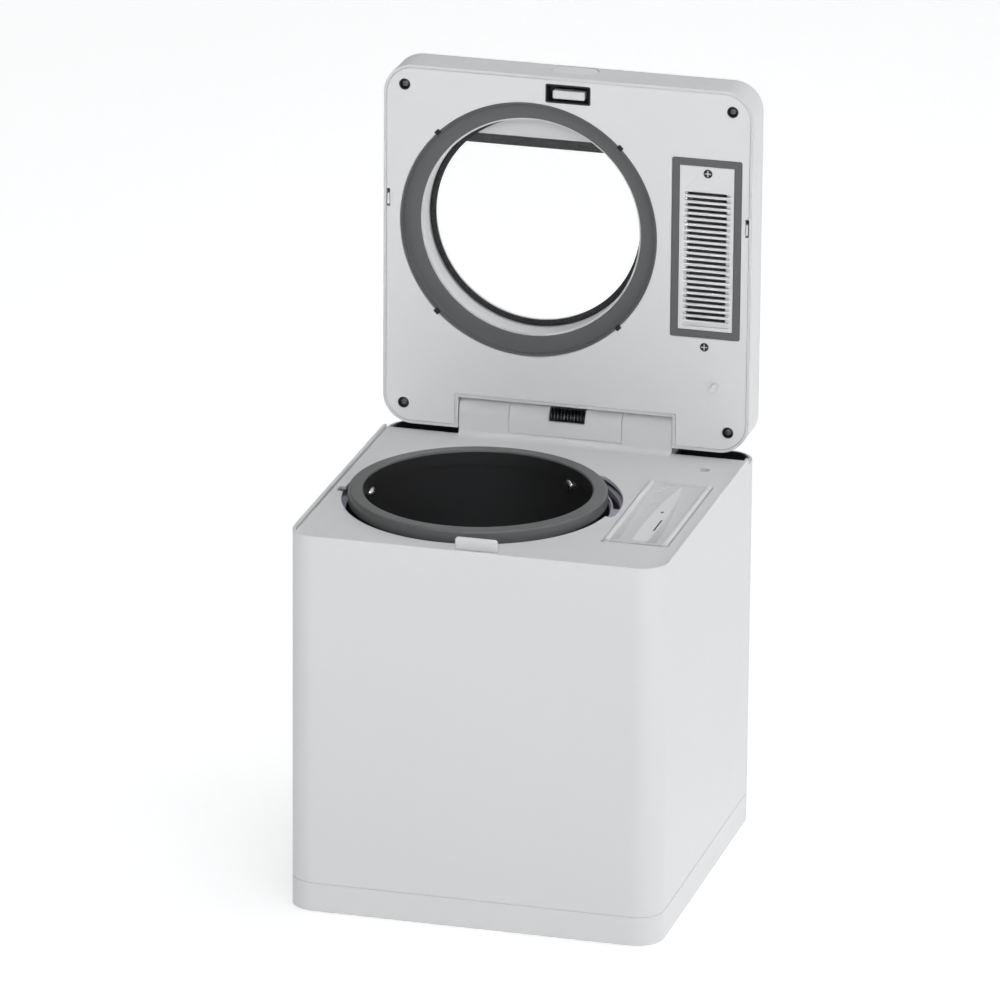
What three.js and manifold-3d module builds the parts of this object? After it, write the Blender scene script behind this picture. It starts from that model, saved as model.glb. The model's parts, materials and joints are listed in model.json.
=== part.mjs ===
// Compact top-loading rotary clothes dryer, lid open. Millimetres, +Z up.
// Origin: centre of the footprint, on the surface that the feet stand on.
import * as THREE from 'three';
import { mergeVertices } from 'three/addons/utils/BufferGeometryUtils.js';
import Module from 'manifold-3d';

const wasm = await Module();
wasm.setup();

// ---- driving dimensions ----------------------------------------------------
const WIDTH = 300;                 // left to right, body and lid
const DEPTH = 306;                 // front to rear
const CORNER = 22;                 // plan radius of the body corners
const WALL = 2.6;                  // moulded wall
const GAP = 0.3;                   // between neighbouring pieces

const BASE_Z = 3;                  // underside of the plinth, on its feet
const SEAM_Z = 27;                 // shell stands on the plinth here
const RIM_Z = 313.8;               // top of the shell's front and side rim
const REAR_RIM_Z = 308;            // rim behind the deck, low for the lid's ears
const DECK_Z = 311.5;              // top of the deck, set down inside the rim
const DECK_T = 3;
const DECK_REAR = 121.3;           // rear edge of the deck, front of the trough

const HINGE_Y = 133;               // lid axis, parallel to X
const HINGE_Z = 328.8;
const LID_OPEN = -Math.PI / 2;     // the lid group is drawn closed and turned open
const LID_FACE = -14.6;            // inner face, from the axis, lid closed
const LID_BACK = 20;               // outer face
const LID_FRONT = -286;            // front edge
const LID_REAR = 11.7;             // rear edge of the ears
const LID_CORNER = 24;
const LID_WALL = 2.4;
const LID_PLATE = 3.4;             // outer face plate
const LINER_T = 2.4;
const CUT_X = 88;                  // half width of the cut-out round the hinge block
const CUT_Y = -14.1;

const BLOCK_X = 87.4;              // half width of the hinge block
const COVER_X = 46;                // half width of its centre cover
const BLOCK_R = 13.5;              // rounded front of the block, about the lid axis

const DRUM_X = -31.5;              // vertical drum axis
const DRUM_Y = -25.2;
const DRUM_R = 93;                 // outside of the drum wall
const DRUM_T = 1.5;
const DRUM_BOTTOM = 86;
const DRUM_TOP = 309;
const RING_IN = 90;                // collar on the drum's mouth
const RING_OUT = 101.4;
const RING_TOP = 320;
const MOUTH_R = 106.5;             // opening in the deck
const LOBE_R = 113.3;              // its wider part, beside the filter
const TUB_R = 105;
const TUB_T = 2;
const TUB_BOTTOM = 76;
const TUB_TOP = 303;

const FILTER = { x0: 87.2, x1: 138.2, y0: -92.8, y1: 51.2, top: 313.5, bottom: 252 };
const PIN = { x: 121.8, y: 90.3, hole: 4 };
const GASKET_R = 104.7;
const WINDOW_R = 84;
const FAN = { x: 111, y: -20, r: 29, z0: 153, z1: 181 };
const MOTOR = { x: 92, y: 94, r: 31, z0: 51, z1: 108 };
const PULLEY = { z0: 36, z1: 46, drum: 56, motor: 9, belt: 1.2 };

const ROUND = 40;                  // sides of the large round pieces
const FAR = 400;                   // past every face, for the cutting tools

// ---- materials -------------------------------------------------------------
const finish = (color, roughness, metalness = 0, extra = {}) =>
  new THREE.MeshStandardMaterial({ color, roughness, metalness, ...extra });
const paleShell = finish(0xd6d8d8, 0.45);
const paleInside = finish(0xcdcecf, 0.5);
const white = finish(0xe9eaea, 0.4);
const greyRubber = finish(0x66686a, 0.7);
const ringGrey = finish(0x6b6e6e, 0.5);
const black = finish(0x16181a, 0.5);
const steel = finish(0xa8abae, 0.28, 1);
const darkSteel = finish(0x34373a, 0.35, 1);
const board = finish(0x1d5a38, 0.6);
const smoked = finish(0x5b5a66, 0.2, 0, { transparent: true, opacity: 0.6 });
const clear = finish(0xe6eeee, 0.05, 0, { transparent: true, opacity: 0.25 });
const meshGrey = finish(0x9aa0a4, 0.8);

// ---- shape helpers ---------------------------------------------------------
function solid(geometry) {
  const bare = geometry.clone();
  bare.deleteAttribute('normal');
  bare.deleteAttribute('uv');
  const merged = mergeVertices(bare, 1e-4);
  return new wasm.Manifold(new wasm.Mesh({
    numProp: 3,
    vertProperties: new Float32Array(merged.attributes.position.array),
    triVerts: new Uint32Array(merged.index.array),
  }));
}

function geometryOf(body) {
  const mesh = body.getMesh();
  const geometry = new THREE.BufferGeometry();
  geometry.setAttribute('position', new THREE.BufferAttribute(new Float32Array(mesh.vertProperties), 3));
  geometry.setIndex(new THREE.BufferAttribute(new Uint32Array(mesh.triVerts), 1));
  geometry.computeVertexNormals();
  return geometry;
}

const union = (...bodies) => bodies.reduce((a, b) => a.add(b));
const cut = (body, ...tools) => tools.reduce((a, b) => a.subtract(b), body);

function block(x0, x1, y0, y1, z0, z1) {
  const box = new THREE.BoxGeometry(x1 - x0, y1 - y0, z1 - z0);
  return solid(box.translate((x0 + x1) / 2, (y0 + y1) / 2, (z0 + z1) / 2));
}

function pole(x, y, r, z0, z1, sides = 16) {
  const rod = new THREE.CylinderGeometry(r, r, z1 - z0, sides).rotateX(Math.PI / 2);
  return solid(rod.translate(x, y, (z0 + z1) / 2));
}

function rodX(y, z, r, x0, x1, sides = 24) {
  const rod = new THREE.CylinderGeometry(r, r, x1 - x0, sides).rotateZ(Math.PI / 2);
  return solid(rod.translate((x0 + x1) / 2, y, z));
}

function rodY(x, z, r, y0, y1, sides = 24) {
  const rod = new THREE.CylinderGeometry(r, r, y1 - y0, sides);
  return solid(rod.translate(x, (y0 + y1) / 2, z));
}

// An outline of [radius, height] points, drawn anticlockwise, turned about the vertical
// line at x, y. It starts and ends on the axis, or is closed on itself.
function turned(outline, x, y, sides = ROUND) {
  const points = outline.map(([r, z]) => new THREE.Vector2(r, z));
  if (outline[0][0] > 0) points.push(points[0].clone());
  return solid(new THREE.LatheGeometry(points, sides).rotateX(Math.PI / 2).translate(x, y, 0));
}

const tube = (inner, outer, z0, z1, x, y, sides = ROUND) =>
  turned([[inner, z0], [outer, z0], [outer, z1], [inner, z1]], x, y, sides);

function roundedRect(x0, x1, y0, y1, r) {
  const shape = new THREE.Shape();
  shape.moveTo(x0 + r, y0);
  shape.lineTo(x1 - r, y0);
  shape.absarc(x1 - r, y0 + r, r, -Math.PI / 2, 0);
  shape.lineTo(x1, y1 - r);
  shape.absarc(x1 - r, y1 - r, r, 0, Math.PI / 2);
  shape.lineTo(x0 + r, y1);
  shape.absarc(x0 + r, y1 - r, r, Math.PI / 2, Math.PI);
  shape.lineTo(x0, y0 + r);
  shape.absarc(x0 + r, y0 + r, r, Math.PI, 1.5 * Math.PI);
  return shape;
}

const centred = (w, d, r) => roundedRect(-w / 2, w / 2, -d / 2, d / 2, r);

function prism(shape, z0, z1, curveSegments = 3) {
  const body = new THREE.ExtrudeGeometry(shape, { depth: z1 - z0, bevelEnabled: false, curveSegments });
  return solid(body.translate(0, 0, z0));
}

// The same, with its upper edge rounded off by a two-step bevel.
function crowned(shape, z0, z1, bevel, curveSegments = 3) {
  const body = new THREE.ExtrudeGeometry(shape, {
    depth: z1 - z0,
    bevelThickness: bevel,
    bevelSize: bevel,
    bevelOffset: -bevel,
    bevelSegments: 2,
    curveSegments,
  });
  const below = block(-FAR, FAR, -FAR, FAR, z0 - FAR, z0);
  return cut(solid(body.translate(0, 0, z0 - bevel)), below);
}

// A shape in the Y-Z plane, drawn with x as Y and y as Z, pushed from x0 to x1.
function profileX(points, x0, x1) {
  const body = new THREE.ExtrudeGeometry(new THREE.Shape(points), { depth: x1 - x0, bevelEnabled: false });
  body.rotateX(Math.PI / 2).rotateZ(Math.PI / 2);
  return solid(body.translate(x0, 0, 0));
}

const polar = (x, y, r, degrees) => {
  const a = THREE.MathUtils.degToRad(degrees);
  return [x + r * Math.cos(a), y + r * Math.sin(a)];
};

// Ring sector between two radii and two angles.
function sector(x, y, inner, outer, from, to, z0, z1) {
  const [a, b] = [from, to].map(THREE.MathUtils.degToRad);
  const shape = new THREE.Shape();
  shape.absarc(x, y, outer, a, b);
  shape.absarc(x, y, inner, b, a, true);
  return prism(shape, z0, z1, 6);
}

// Points on an arc in the Y-Z plane, or on a flattened one that rises by another radius.
const arcPoints = (cy, cz, r, from, to, steps, rise = r) => Array.from({ length: steps + 1 }, (_, i) => {
  const a = THREE.MathUtils.degToRad(from + ((to - from) * i) / steps);
  return new THREE.Vector2(cy + r * Math.cos(a), cz + rise * Math.sin(a));
});

const dryer = new THREE.Group();
const lid = new THREE.Group();
lid.position.set(0, HINGE_Y, HINGE_Z);
lid.rotation.x = LID_OPEN;
dryer.add(lid);

function piece(name, body, material, parent = dryer) {
  const mesh = new THREE.Mesh(geometryOf(body), material);
  mesh.name = name;
  parent.add(mesh);
}

// ---- plinth, feet, shell and rear panel ------------------------------------
const FEET = [[-118, -121], [118, -121], [118, 121], [-118, 121]];
const FOOT = { pad: 11, spigot: 3, top: 8 };

function makePlinth() {
  const outer = prism(centred(WIDTH, DEPTH, CORNER), BASE_Z, SEAM_Z - 0.4);
  const inner = prism(centred(WIDTH - 2 * WALL, DEPTH - 2 * WALL, CORNER - WALL), BASE_Z + 3, SEAM_Z + 1);
  const bores = FEET.map(([x, y]) => pole(x, y, FOOT.spigot + GAP, 0, 20, 16));
  piece('plinth', cut(outer, inner, ...bores), paleShell);
  FEET.forEach(([x, y], i) => {
    const foot = union(pole(x, y, FOOT.pad, 0, BASE_Z - GAP), pole(x, y, FOOT.spigot, 1, FOOT.top, 16));
    piece(`foot_${i + 1}`, foot, greyRubber);
  });
}

const REAR_OPENING = { x0: -112, x1: 124, z0: 40, z1: 250 };
const INLET = { x: -84, z: 62, w: 15, h: 11 };
const EXHAUST = { x0: 77, x1: 118, slots: 8, pitch: 7, slot: 3.4 };

function makeShell() {
  const outer = prism(centred(WIDTH, DEPTH, CORNER), SEAM_Z, RIM_Z);
  const inner = prism(centred(WIDTH - 2 * WALL, DEPTH - 2 * WALL, CORNER - WALL), 0, FAR);
  const low = block(-FAR, FAR, DECK_REAR, FAR, REAR_RIM_Z, FAR);
  const { x0, x1, z0, z1 } = REAR_OPENING;
  piece('housing_shell', cut(outer, inner, low, block(x0, x1, 0, FAR, z0, z1)), paleShell);

  const face = DEPTH / 2 - 0.2;
  const plate = block(x0 + GAP, x1 - GAP, face - WALL, face, z0 + GAP, z1 - GAP);
  const hole = block(INLET.x - INLET.w, INLET.x + INLET.w, 0, FAR, INLET.z - INLET.h, INLET.z + INLET.h);
  const slots = Array.from({ length: EXHAUST.slots }, (_, i) => {
    const z = FAN.z0 - 13 + i * EXHAUST.pitch;
    return block(EXHAUST.x0 + 1, EXHAUST.x1 - 1, 0, FAR, z, z + EXHAUST.slot);
  });
  piece('rear_panel', cut(plate, hole, ...slots), paleInside);
}

// ---- deck with the hinge block, its cover and the trough --------------------
const BLOCK_REAR = 152.2;
const BLOCK_FILLET = { run: 7.5, rise: 3.8 }; // at the foot of the block's front, under the shut lid
const COVER_SPLIT = 316.4;          // the centre cover's lower front edge
const SHAFT_R = 3;
const SHAFT_CLEAR = 0.14;           // round the shaft, in its bearings
const SPRING_WINDOW = { x0: -13.6, x1: 16, y1: HINGE_Y - 2.5 };
const TROUGH = { z0: 296, floor: 298, rear: 149.6, wall: 1.6 };

// Front and top of the hinge block: up the front face, round the axis, back and down.
function blockOutline(inset, frontZ, rearZ) {
  const r = BLOCK_R - inset;
  const rear = BLOCK_REAR - inset;
  return [
    new THREE.Vector2(rear, rearZ),
    ...arcPoints(rear - 5, HINGE_Z + r - 5, 5, 0, 90, 3),
    ...arcPoints(HINGE_Y, HINGE_Z, r, 90, 180, 8),
    new THREE.Vector2(HINGE_Y - r, frontZ),
  ];
}

function makeHingeBlock(under) {
  const front = HINGE_Y - BLOCK_R;
  const outer = profileX(blockOutline(0, under, under), -BLOCK_X, BLOCK_X);
  const hollow = profileX(blockOutline(WALL, under - 5, under - 5), -BLOCK_X + WALL, BLOCK_X - WALL);
  const { run, rise } = BLOCK_FILLET;
  const fillet = profileX([
    ...arcPoints(front - run, DECK_Z + rise, run, -90, 0, 6, rise),
    new THREE.Vector2(front + 1, DECK_Z + rise),
    new THREE.Vector2(front + 1, under),
    new THREE.Vector2(front - run, under),
  ], -BLOCK_X, BLOCK_X);
  const half = COVER_X + GAP;
  const coverFront = block(-half, half, front - 20, FAR, COVER_SPLIT, FAR);
  const coverRear = block(-half, half, HINGE_Y, FAR, 300, FAR);
  const bore = rodX(HINGE_Y, HINGE_Z, SHAFT_R + SHAFT_CLEAR, -100, 100);
  return cut(union(outer, fillet), hollow, coverFront, coverRear, bore);
}

// The trough that one of the lid's ears dips into, on the side s of the block.
function makeTrough(s, side, under) {
  const ends = [BLOCK_X - 1, side - 1].map((x) => s * x).sort((a, b) => a - b);
  const box = block(ends[0], ends[1], DECK_REAR - 2, TROUGH.rear, TROUGH.z0, under + 0.5);
  const [left, right] = s < 0 ? [TROUGH.wall, 3] : [3, TROUGH.wall];
  const room = block(
    ends[0] + left, ends[1] - right, DECK_REAR, TROUGH.rear - TROUGH.wall, TROUGH.floor, FAR);
  return cut(box, room);
}

function makeDeck() {
  const side = WIDTH / 2 - WALL - 0.4;
  const radius = CORNER - WALL - 0.4;
  const under = DECK_Z - DECK_T;
  const sheet = prism(centred(2 * side, DEPTH - 2 * WALL - 0.8, radius), under, DECK_Z);
  const plate = cut(sheet, block(-FAR, FAR, DECK_REAR, FAR, 0, FAR));
  const corners = prism(centred(2 * side, DEPTH - 2 * WALL - 0.8, radius), TROUGH.z0 - 1, DECK_Z + 1);
  const flat = union(plate, makeTrough(-1, side, under), makeTrough(1, side, under)).intersect(corners);

  const mouth = union(
    pole(DRUM_X, DRUM_Y, MOUTH_R, 300, 320, ROUND),
    sector(DRUM_X, DRUM_Y, 90, LOBE_R, -7, 46, 300, 320),
    sector(DRUM_X, DRUM_Y, 90, LOBE_R - 1.8, 181, 187, 300, 320),
  );
  const { x0, x1, y0, y1 } = FILTER;
  const slot = prism(roundedRect(x0 - 0.6, x1 + 0.6, y0 - 0.6, y1 + 0.6, 2.5), 300, 320, 4);
  const pinHole = pole(PIN.x, PIN.y, PIN.hole, 300, 320);
  piece('top_deck', union(cut(flat, mouth, slot, pinHole), makeHingeBlock(under)), paleShell);

  const window = SPRING_WINDOW;
  const skin = cut(
    profileX(blockOutline(0, COVER_SPLIT + GAP, DECK_Z), -COVER_X, COVER_X),
    profileX(blockOutline(WALL, COVER_SPLIT - 5, DECK_Z - 5), -COVER_X - 1, COVER_X + 1),
    block(window.x0, window.x1, 0, window.y1, HINGE_Z, FAR),
    block(-FAR, FAR, 0, HINGE_Y, 0, COVER_SPLIT + GAP),
  );
  piece('hinge_cover', skin, paleShell);
}

// Striker plate that the lid closes over, at the middle of the front edge.
function makeStriker() {
  const shape = new THREE.Shape();
  const [half, r, foot, top] = [16.8, 3, DECK_Z + GAP, 321.6];
  shape.moveTo(-half, foot);
  shape.lineTo(half, foot);
  shape.lineTo(half, top - r);
  shape.absarc(half - r, top - r, r, 0, Math.PI / 2);
  shape.lineTo(-half + r, top);
  shape.absarc(-half + r, top - r, r, Math.PI / 2, Math.PI);
  const body = new THREE.ExtrudeGeometry(shape, { depth: 2.5, bevelEnabled: false, curveSegments: 4 });
  body.rotateX(Math.PI / 2).translate(0, -141.8, 0);
  const toe = block(-11, 11, -142.5, -136.5, DECK_Z + GAP, DECK_Z + 2.3);
  piece('striker_tab', union(solid(body), toe), white);
}

// ---- hinge: shaft, spring and damper ----------------------------------------
class Coil extends THREE.Curve {
  constructor(turns, radius, pitch, start) {
    super();
    Object.assign(this, { turns, radius, pitch, start });
  }

  getPoint(t, target = new THREE.Vector3()) {
    const a = 2 * Math.PI * this.turns * t;
    return target.set(
      this.start + this.pitch * this.turns * t,
      HINGE_Y + this.radius * Math.cos(a),
      HINGE_Z + this.radius * Math.sin(a),
    );
  }
}

function makeHinge() {
  const length = 236;
  piece('hinge_shaft', rodX(0, 0, SHAFT_R, -length / 2, length / 2), steel, lid);

  const turns = 11;
  const wire = new THREE.Shape().absarc(0, 0, 0.95, 0, 2 * Math.PI);
  const coil = new THREE.ExtrudeGeometry(wire, {
    steps: turns * 8,
    curveSegments: 2,
    bevelEnabled: false,
    extrudePath: new Coil(turns, 6.4, 2.7, -14),
  });
  piece('torsion_spring', solid(coil), darkSteel);

  const damper = tube(SHAFT_R + GAP, 9.6, 0, 18, 0, 0, 20).rotate([0, 90, 0]);
  piece('hinge_damper', damper.translate([50, HINGE_Y, HINGE_Z]), black);
}

// ---- lint filter -------------------------------------------------------------
function makeFilter() {
  const { x0, x1, y0, y1, top, bottom } = FILTER;
  const body = crowned(roundedRect(x0, x1, y0, y1, 2.2), 297, top, 0.8, 4);
  // Two scooped hollows beside the grip: the floor falls towards the front.
  const floor = [
    new THREE.Vector2(y0 + 3, top - 13),
    new THREE.Vector2(y0 + 50, top - 9),
    new THREE.Vector2(y1 - 22, top - 3.2),
    new THREE.Vector2(y1 - 3, top - 1.6),
    new THREE.Vector2(y1 - 3, top + 2),
    new THREE.Vector2(y0 + 3, top + 2),
  ];
  const scoop = profileX(floor, x0 + 5, x1 - 5);
  const under = block(x0 + 3, x1 - 3, y0 + 3, y1 - 3, 290, 299);
  piece('filter_frame', cut(body, scoop, under), white);

  // Leaf-shaped grip standing in the scoop.
  const leaf = new THREE.Shape();
  const mid = (x0 + x1) / 2 + 1.6;
  leaf.moveTo(mid - 5.4, y0 + 3.4);
  leaf.quadraticCurveTo(mid - 8.6, y0 + 62, mid + 0.2, y1 - 12);
  leaf.lineTo(mid + 2.4, y1 - 12);
  leaf.quadraticCurveTo(mid + 5.6, y0 + 70, mid + 5, y0 + 3.4);
  const blade = crowned(leaf, top - 15, top - 0.4, 0.5, 8);
  const seat = profileX([
    new THREE.Vector2(y0, top - 20),
    new THREE.Vector2(y0, top - 12.7),
    new THREE.Vector2(y0 + 3, top - 12.7),
    new THREE.Vector2(y0 + 50, top - 8.7),
    new THREE.Vector2(y1 - 22, top - 2.9),
    new THREE.Vector2(y1, top - 1.2),
    new THREE.Vector2(y1, top - 20),
  ], x0, x1);
  piece('filter_grip', cut(blade, seat), white);

  const cassette = cut(
    prism(roundedRect(x0 + 3.4, x1 - 3.4, y0 + 3.4, y1 - 3.4, 2), bottom, 296.7, 4),
    prism(roundedRect(x0 + 5.4, x1 - 5.4, y0 + 5.4, y1 - 5.4, 1), bottom + 2, 300, 4),
  );
  const panes = Array.from({ length: 4 }, (_, i) => {
    const y = y0 + 12 + i * 31.5;
    return block(x0 + 10, x1 - 10, y, y + 26, bottom - 1, bottom + 3);
  });
  piece('filter_mesh', cut(cassette, ...panes), meshGrey);
}

function makeFilterWell() {
  const { x0, x1, y0, y1 } = FILTER;
  const outer = block(x0 - 2.6, x1 + 2.6, y0 - 2.6, y1 + 2.6, 196, DECK_Z - DECK_T - GAP);
  const room = block(x0 - 1, x1 + 1, y0 - 1, y1 + 1, 198, 320);
  const drain = pole(FAN.x, FAN.y, 20, 190, 200, 32);
  piece('filter_well', cut(outer, room, drain), paleInside);
}

// ---- drum, tub, bearings and drive -------------------------------------------
const RIVET_ANGLE = 172.8;
const HUB_R = 6;

function makeDrum() {
  const inner = DRUM_R - DRUM_T;
  const bowl = turned([
    [HUB_R + 0.1, DRUM_BOTTOM], [DRUM_R - 8, DRUM_BOTTOM], [DRUM_R - 2, DRUM_BOTTOM + 2.4],
    [DRUM_R, DRUM_BOTTOM + 8], [DRUM_R, DRUM_TOP], [inner, DRUM_TOP],
    [inner, DRUM_BOTTOM + 9], [inner - 2, DRUM_BOTTOM + 4.2], [inner - 8, DRUM_BOTTOM + DRUM_T],
    [HUB_R + 0.1, DRUM_BOTTOM + DRUM_T],
  ], DRUM_X, DRUM_Y);
  piece('drum', bowl, darkSteel);

  const collar = turned([
    [RING_IN, DRUM_TOP + GAP], [RING_OUT - 0.8, DRUM_TOP + GAP], [RING_OUT, DRUM_TOP + 1.2],
    [RING_OUT, RING_TOP - 1.6], [RING_OUT - 0.5, RING_TOP - 0.5], [RING_OUT - 1.6, RING_TOP],
    [RING_IN + 1, RING_TOP], [RING_IN, RING_TOP - 1],
  ], DRUM_X, DRUM_Y);
  piece('drum_ring', collar, ringGrey);

  for (let i = 0; i < 3; i += 1) {
    const angle = RIVET_ANGLE + 120 * i;
    const turn = (body) => body.rotate([0, 0, angle]).translate([DRUM_X, DRUM_Y, 0]);
    const dome = turned([[0, 0], [5.5, 0], [5.3, 1], [4.2, 2.1], [2.2, 2.8], [0, 3]], 0, 0, 12);
    piece(`drum_rivet_${i + 1}`, turn(dome.rotate([0, -90, 0]).translate([inner - 0.8, 0, 303])), steel);

    const wedge = new THREE.Shape();
    wedge.moveTo(inner - 1.6, -13);
    wedge.lineTo(inner - 1.6, 13);
    wedge.quadraticCurveTo(inner - 12, 9, inner - 17, 3);
    wedge.quadraticCurveTo(inner - 18.4, 0, inner - 17, -3);
    wedge.quadraticCurveTo(inner - 12, -9, inner - 1.6, -13);
    const lifter = crowned(wedge, 97, 246, 3, 5);
    piece(`lifter_${i + 1}`, turn(lifter.rotate([0, 0, 60])), ringGrey);
  }

  piece('drum_shaft', turned([
    [0, 32], [5.9, 32], [5.9, 84.6], [17, 84.6], [17, DRUM_BOTTOM - GAP], [5.9, DRUM_BOTTOM - GAP],
    [5.9, DRUM_BOTTOM + 6], [4, DRUM_BOTTOM + 8], [0, DRUM_BOTTOM + 8],
  ], DRUM_X, DRUM_Y, 20), steel);

  const wheel = turned([
    [6.05, 34], [12, 34], [12, 39], [50, 39], [50, PULLEY.z0], [PULLEY.drum, PULLEY.z0],
    [PULLEY.drum, PULLEY.z1], [6.05, PULLEY.z1],
  ], DRUM_X, DRUM_Y, 28);
  piece('drum_pulley', wheel, black);
}

function makeTub() {
  const inner = TUB_R - TUB_T;
  const flange = TUB_TOP - 2.5;
  const can = turned([
    [8, TUB_BOTTOM], [TUB_R, TUB_BOTTOM], [TUB_R, flange], [112.6, flange], [112.6, TUB_TOP],
    [inner, TUB_TOP], [inner, TUB_BOTTOM + TUB_T], [8, TUB_BOTTOM + TUB_T],
  ], DRUM_X, DRUM_Y);
  const ear = sector(DRUM_X, DRUM_Y, inner + 1, 115, -16, 56, flange, TUB_TOP);
  const port = sector(DRUM_X, DRUM_Y, inner + 2.6, 111, 12, 40, flange - 1, TUB_TOP + 1);
  const inlet = sector(DRUM_X, DRUM_Y, 66, 92, -112, -68, TUB_BOTTOM - 1, TUB_BOTTOM + 4);
  piece('outer_tub', cut(union(can, ear), port, inlet), smoked);

  piece('bearing_housing', turned([
    [11.2, 48.5], [14, 48.5], [14, 69], [40, 69], [40, TUB_BOTTOM - GAP], [8, TUB_BOTTOM - GAP],
    [8, 73.2], [11.2, 73.2],
  ], DRUM_X, DRUM_Y, 24), steel);
  piece('bearing_lower', tube(6, 11, 49, 56, DRUM_X, DRUM_Y, 20), steel);
  piece('bearing_upper', tube(6, 11, 65.5, 72.5, DRUM_X, DRUM_Y, 20), steel);
}

function makeDrive() {
  const { x, y, r, z0, z1 } = MOTOR;
  const can = turned([[0, z0], [r - 2, z0], [r, z0 + 2], [r, z1 - 4], [r - 4, z1], [0, z1]], x, y, 28);
  piece('drive_motor', cut(can, pole(x, y, 3.4, z0 - 1, z0 + 12, 16)), steel);

  const legs = [[-34, -34], [34, -34], [34, 34], [-34, 34]].map(([dx, dy]) =>
    block(x + dx - 3, x + dx + 3, y + dy - 3, y + dy + 3, BASE_Z + 3 + GAP, z0 - 2));
  const table = union(block(x - 36, x + 36, y - 36, y + 36, z0 - 3.3, z0 - GAP), ...legs);
  piece('motor_bracket', cut(table, pole(x, y, 7, 40, 60)), steel);

  const { z0: low, z1: high, motor } = PULLEY;
  piece('motor_pulley', turned([
    [0, 33], [3, 33], [3, low - 1], [motor + 1.2, low - 1], [motor + 1.2, low - 0.2], [motor, low - 0.2],
    [motor, high + 0.2], [motor + 1.2, high + 0.2], [motor + 1.2, high + 0.6], [3, high + 0.6],
    [3, z0 + 11], [0, z0 + 11],
  ], x, y, 20), steel);
  piece('belt', cut(beltLoop(PULLEY.belt + GAP), beltLoop(GAP)), black);
}

// Outline round both pulleys, grown by an offset.
function beltLoop(grow) {
  const a = new THREE.Vector2(DRUM_X, DRUM_Y);
  const b = new THREE.Vector2(MOTOR.x, MOTOR.y);
  const line = b.clone().sub(a);
  const heading = line.angle();
  const lean = Math.acos((PULLEY.drum - PULLEY.motor) / line.length());
  const shape = new THREE.Shape();
  shape.absarc(a.x, a.y, PULLEY.drum + grow, heading + lean, heading - lean + 2 * Math.PI);
  shape.absarc(b.x, b.y, PULLEY.motor + grow, heading - lean, heading + lean);
  return prism(shape, PULLEY.z0 + 1, PULLEY.z1 - 1, 14);
}

// ---- blower, heater and electrics ---------------------------------------------
function makeAir() {
  const { x, y, r, z0, z1 } = FAN;
  const [low, high] = [z0 - 3, z1 + 3];
  const casing = union(
    pole(x, y, r + 6, low, high, 24),
    block(EXHAUST.x0 - 2, EXHAUST.x1 + 2, y + 8, DEPTH / 2 - 3.4, low, high),
  );
  const room = union(
    pole(x, y, r + 4, low + 2, high - 2, 24),
    block(EXHAUST.x0, EXHAUST.x1, y + 8, FAR, low + 2, high - 2),
  );
  const eye = pole(x, y, 20, high - 4, high + 4, 32);
  const motorHole = pole(x, y, 5, low - 1, low + 4);
  piece('blower_housing', cut(casing, room, eye, motorHole), paleInside);

  const blades = Array.from({ length: 10 }, (_, i) =>
    block(15, r - 0.5, -0.9, 0.9, z0 + 2, z1 - 1).rotate([0, 0, 36 * i]).translate([x, y, 0]));
  const wheel = union(pole(x, y, r, z0, z0 + 2.4, 24), pole(x, y, 6, z0, z0 + 16, 20),
    tube(r - 3, r, z1 - 2.4, z1, x, y, 24));
  piece('impeller', union(cut(wheel, pole(x, y, 2.6, z0 - 1, z0 + 12, 16)), ...blades), white);

  const can = turned([[0, 112], [18, 112], [20, 114], [20, low - 0.6], [0, low - 0.6]], x, y, 20);
  piece('blower_motor', union(can, pole(x, y, 2.4, low - 4, z0 + 10, 16)), steel);

  const duct = block(-84, 22, -126, -86, 30, 75.7);
  const passage = block(-81, 19, -123, -89, 33, 90);
  const intake = block(-60, 0, -130, -120, 38, 58);
  piece('heater_duct', cut(duct, passage, intake), paleInside);
  const fins = Array.from({ length: 14 }, (_, i) => {
    const x0 = -74 + i * 6.3;
    return block(x0, x0 + 1.4, -121, -91, 56, 68);
  });
  const rails = [[-121, -118.5], [-93.5, -91]].map(([y0, y1]) => block(-76, 14, y0, y1, 54, 70));
  piece('heater', union(...rails, ...fins), steel);
}

function makeElectrics() {
  const parts = [
    block(-118, -98, 118, 138, 46, 66),
    block(-92, -70, 124, 138, 84, 104),
    block(-60, -44, 110, 138, 50, 70),
  ];
  piece('power_board', union(block(-124, -36, 137.5, 139.3, 30, 112), ...parts), board);

  const { x, z, w, h } = INLET;
  const body = block(x - w + 0.4, x + w - 0.4, 141, DEPTH / 2 - 0.4, z - h + 0.4, z + h - 0.4);
  const socket = prism(roundedRect(x - 9.5, x + 9.5, -5, 5, 4.6), -1, 11, 4)
    .rotate([90, 0, 0]).translate([0, DEPTH / 2, z]);
  const pins = [-4.2, 4.2].map((dx) => rodY(x + dx, z, 1.3, 141.5, 151, 12));
  piece('power_inlet', union(cut(body, socket), ...pins), black);

  const { x: px, y: py } = PIN;
  const box = block(px - 12, px + 8, py - 7, py + 7, 284, 303);
  piece('door_switch', cut(box, pole(px, py, 2.4, 294, 310, 16)), black);
  piece('switch_plunger', pole(px, py, 2.1, 296.5, 305.9, 16), white);
}

// ---- lid, drawn closed about its axis --------------------------------------------
const CX = DRUM_X;                  // window centre in the lid's own frame
const CY = DRUM_Y - HINGE_Y;
const PANEL = { x: 132, y0: -281.4, y1: -216 };
const LATCH = { x: 17.3, y0: -279.1, y1: -265.6, roof: -2.6 };
const BUTTON = { w: 37, h: 19, z: 7.5 };
const GRILLE = { x0: 85.1, x1: 141.2, y0: -229.2, y1: -82.2, border: 6.1, slots: 24, pitch: 4.69 };
const SCREWS = [[-133, -269.5], [133, -269.5], [133, -5.2], [-133, -5.2]];

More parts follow.
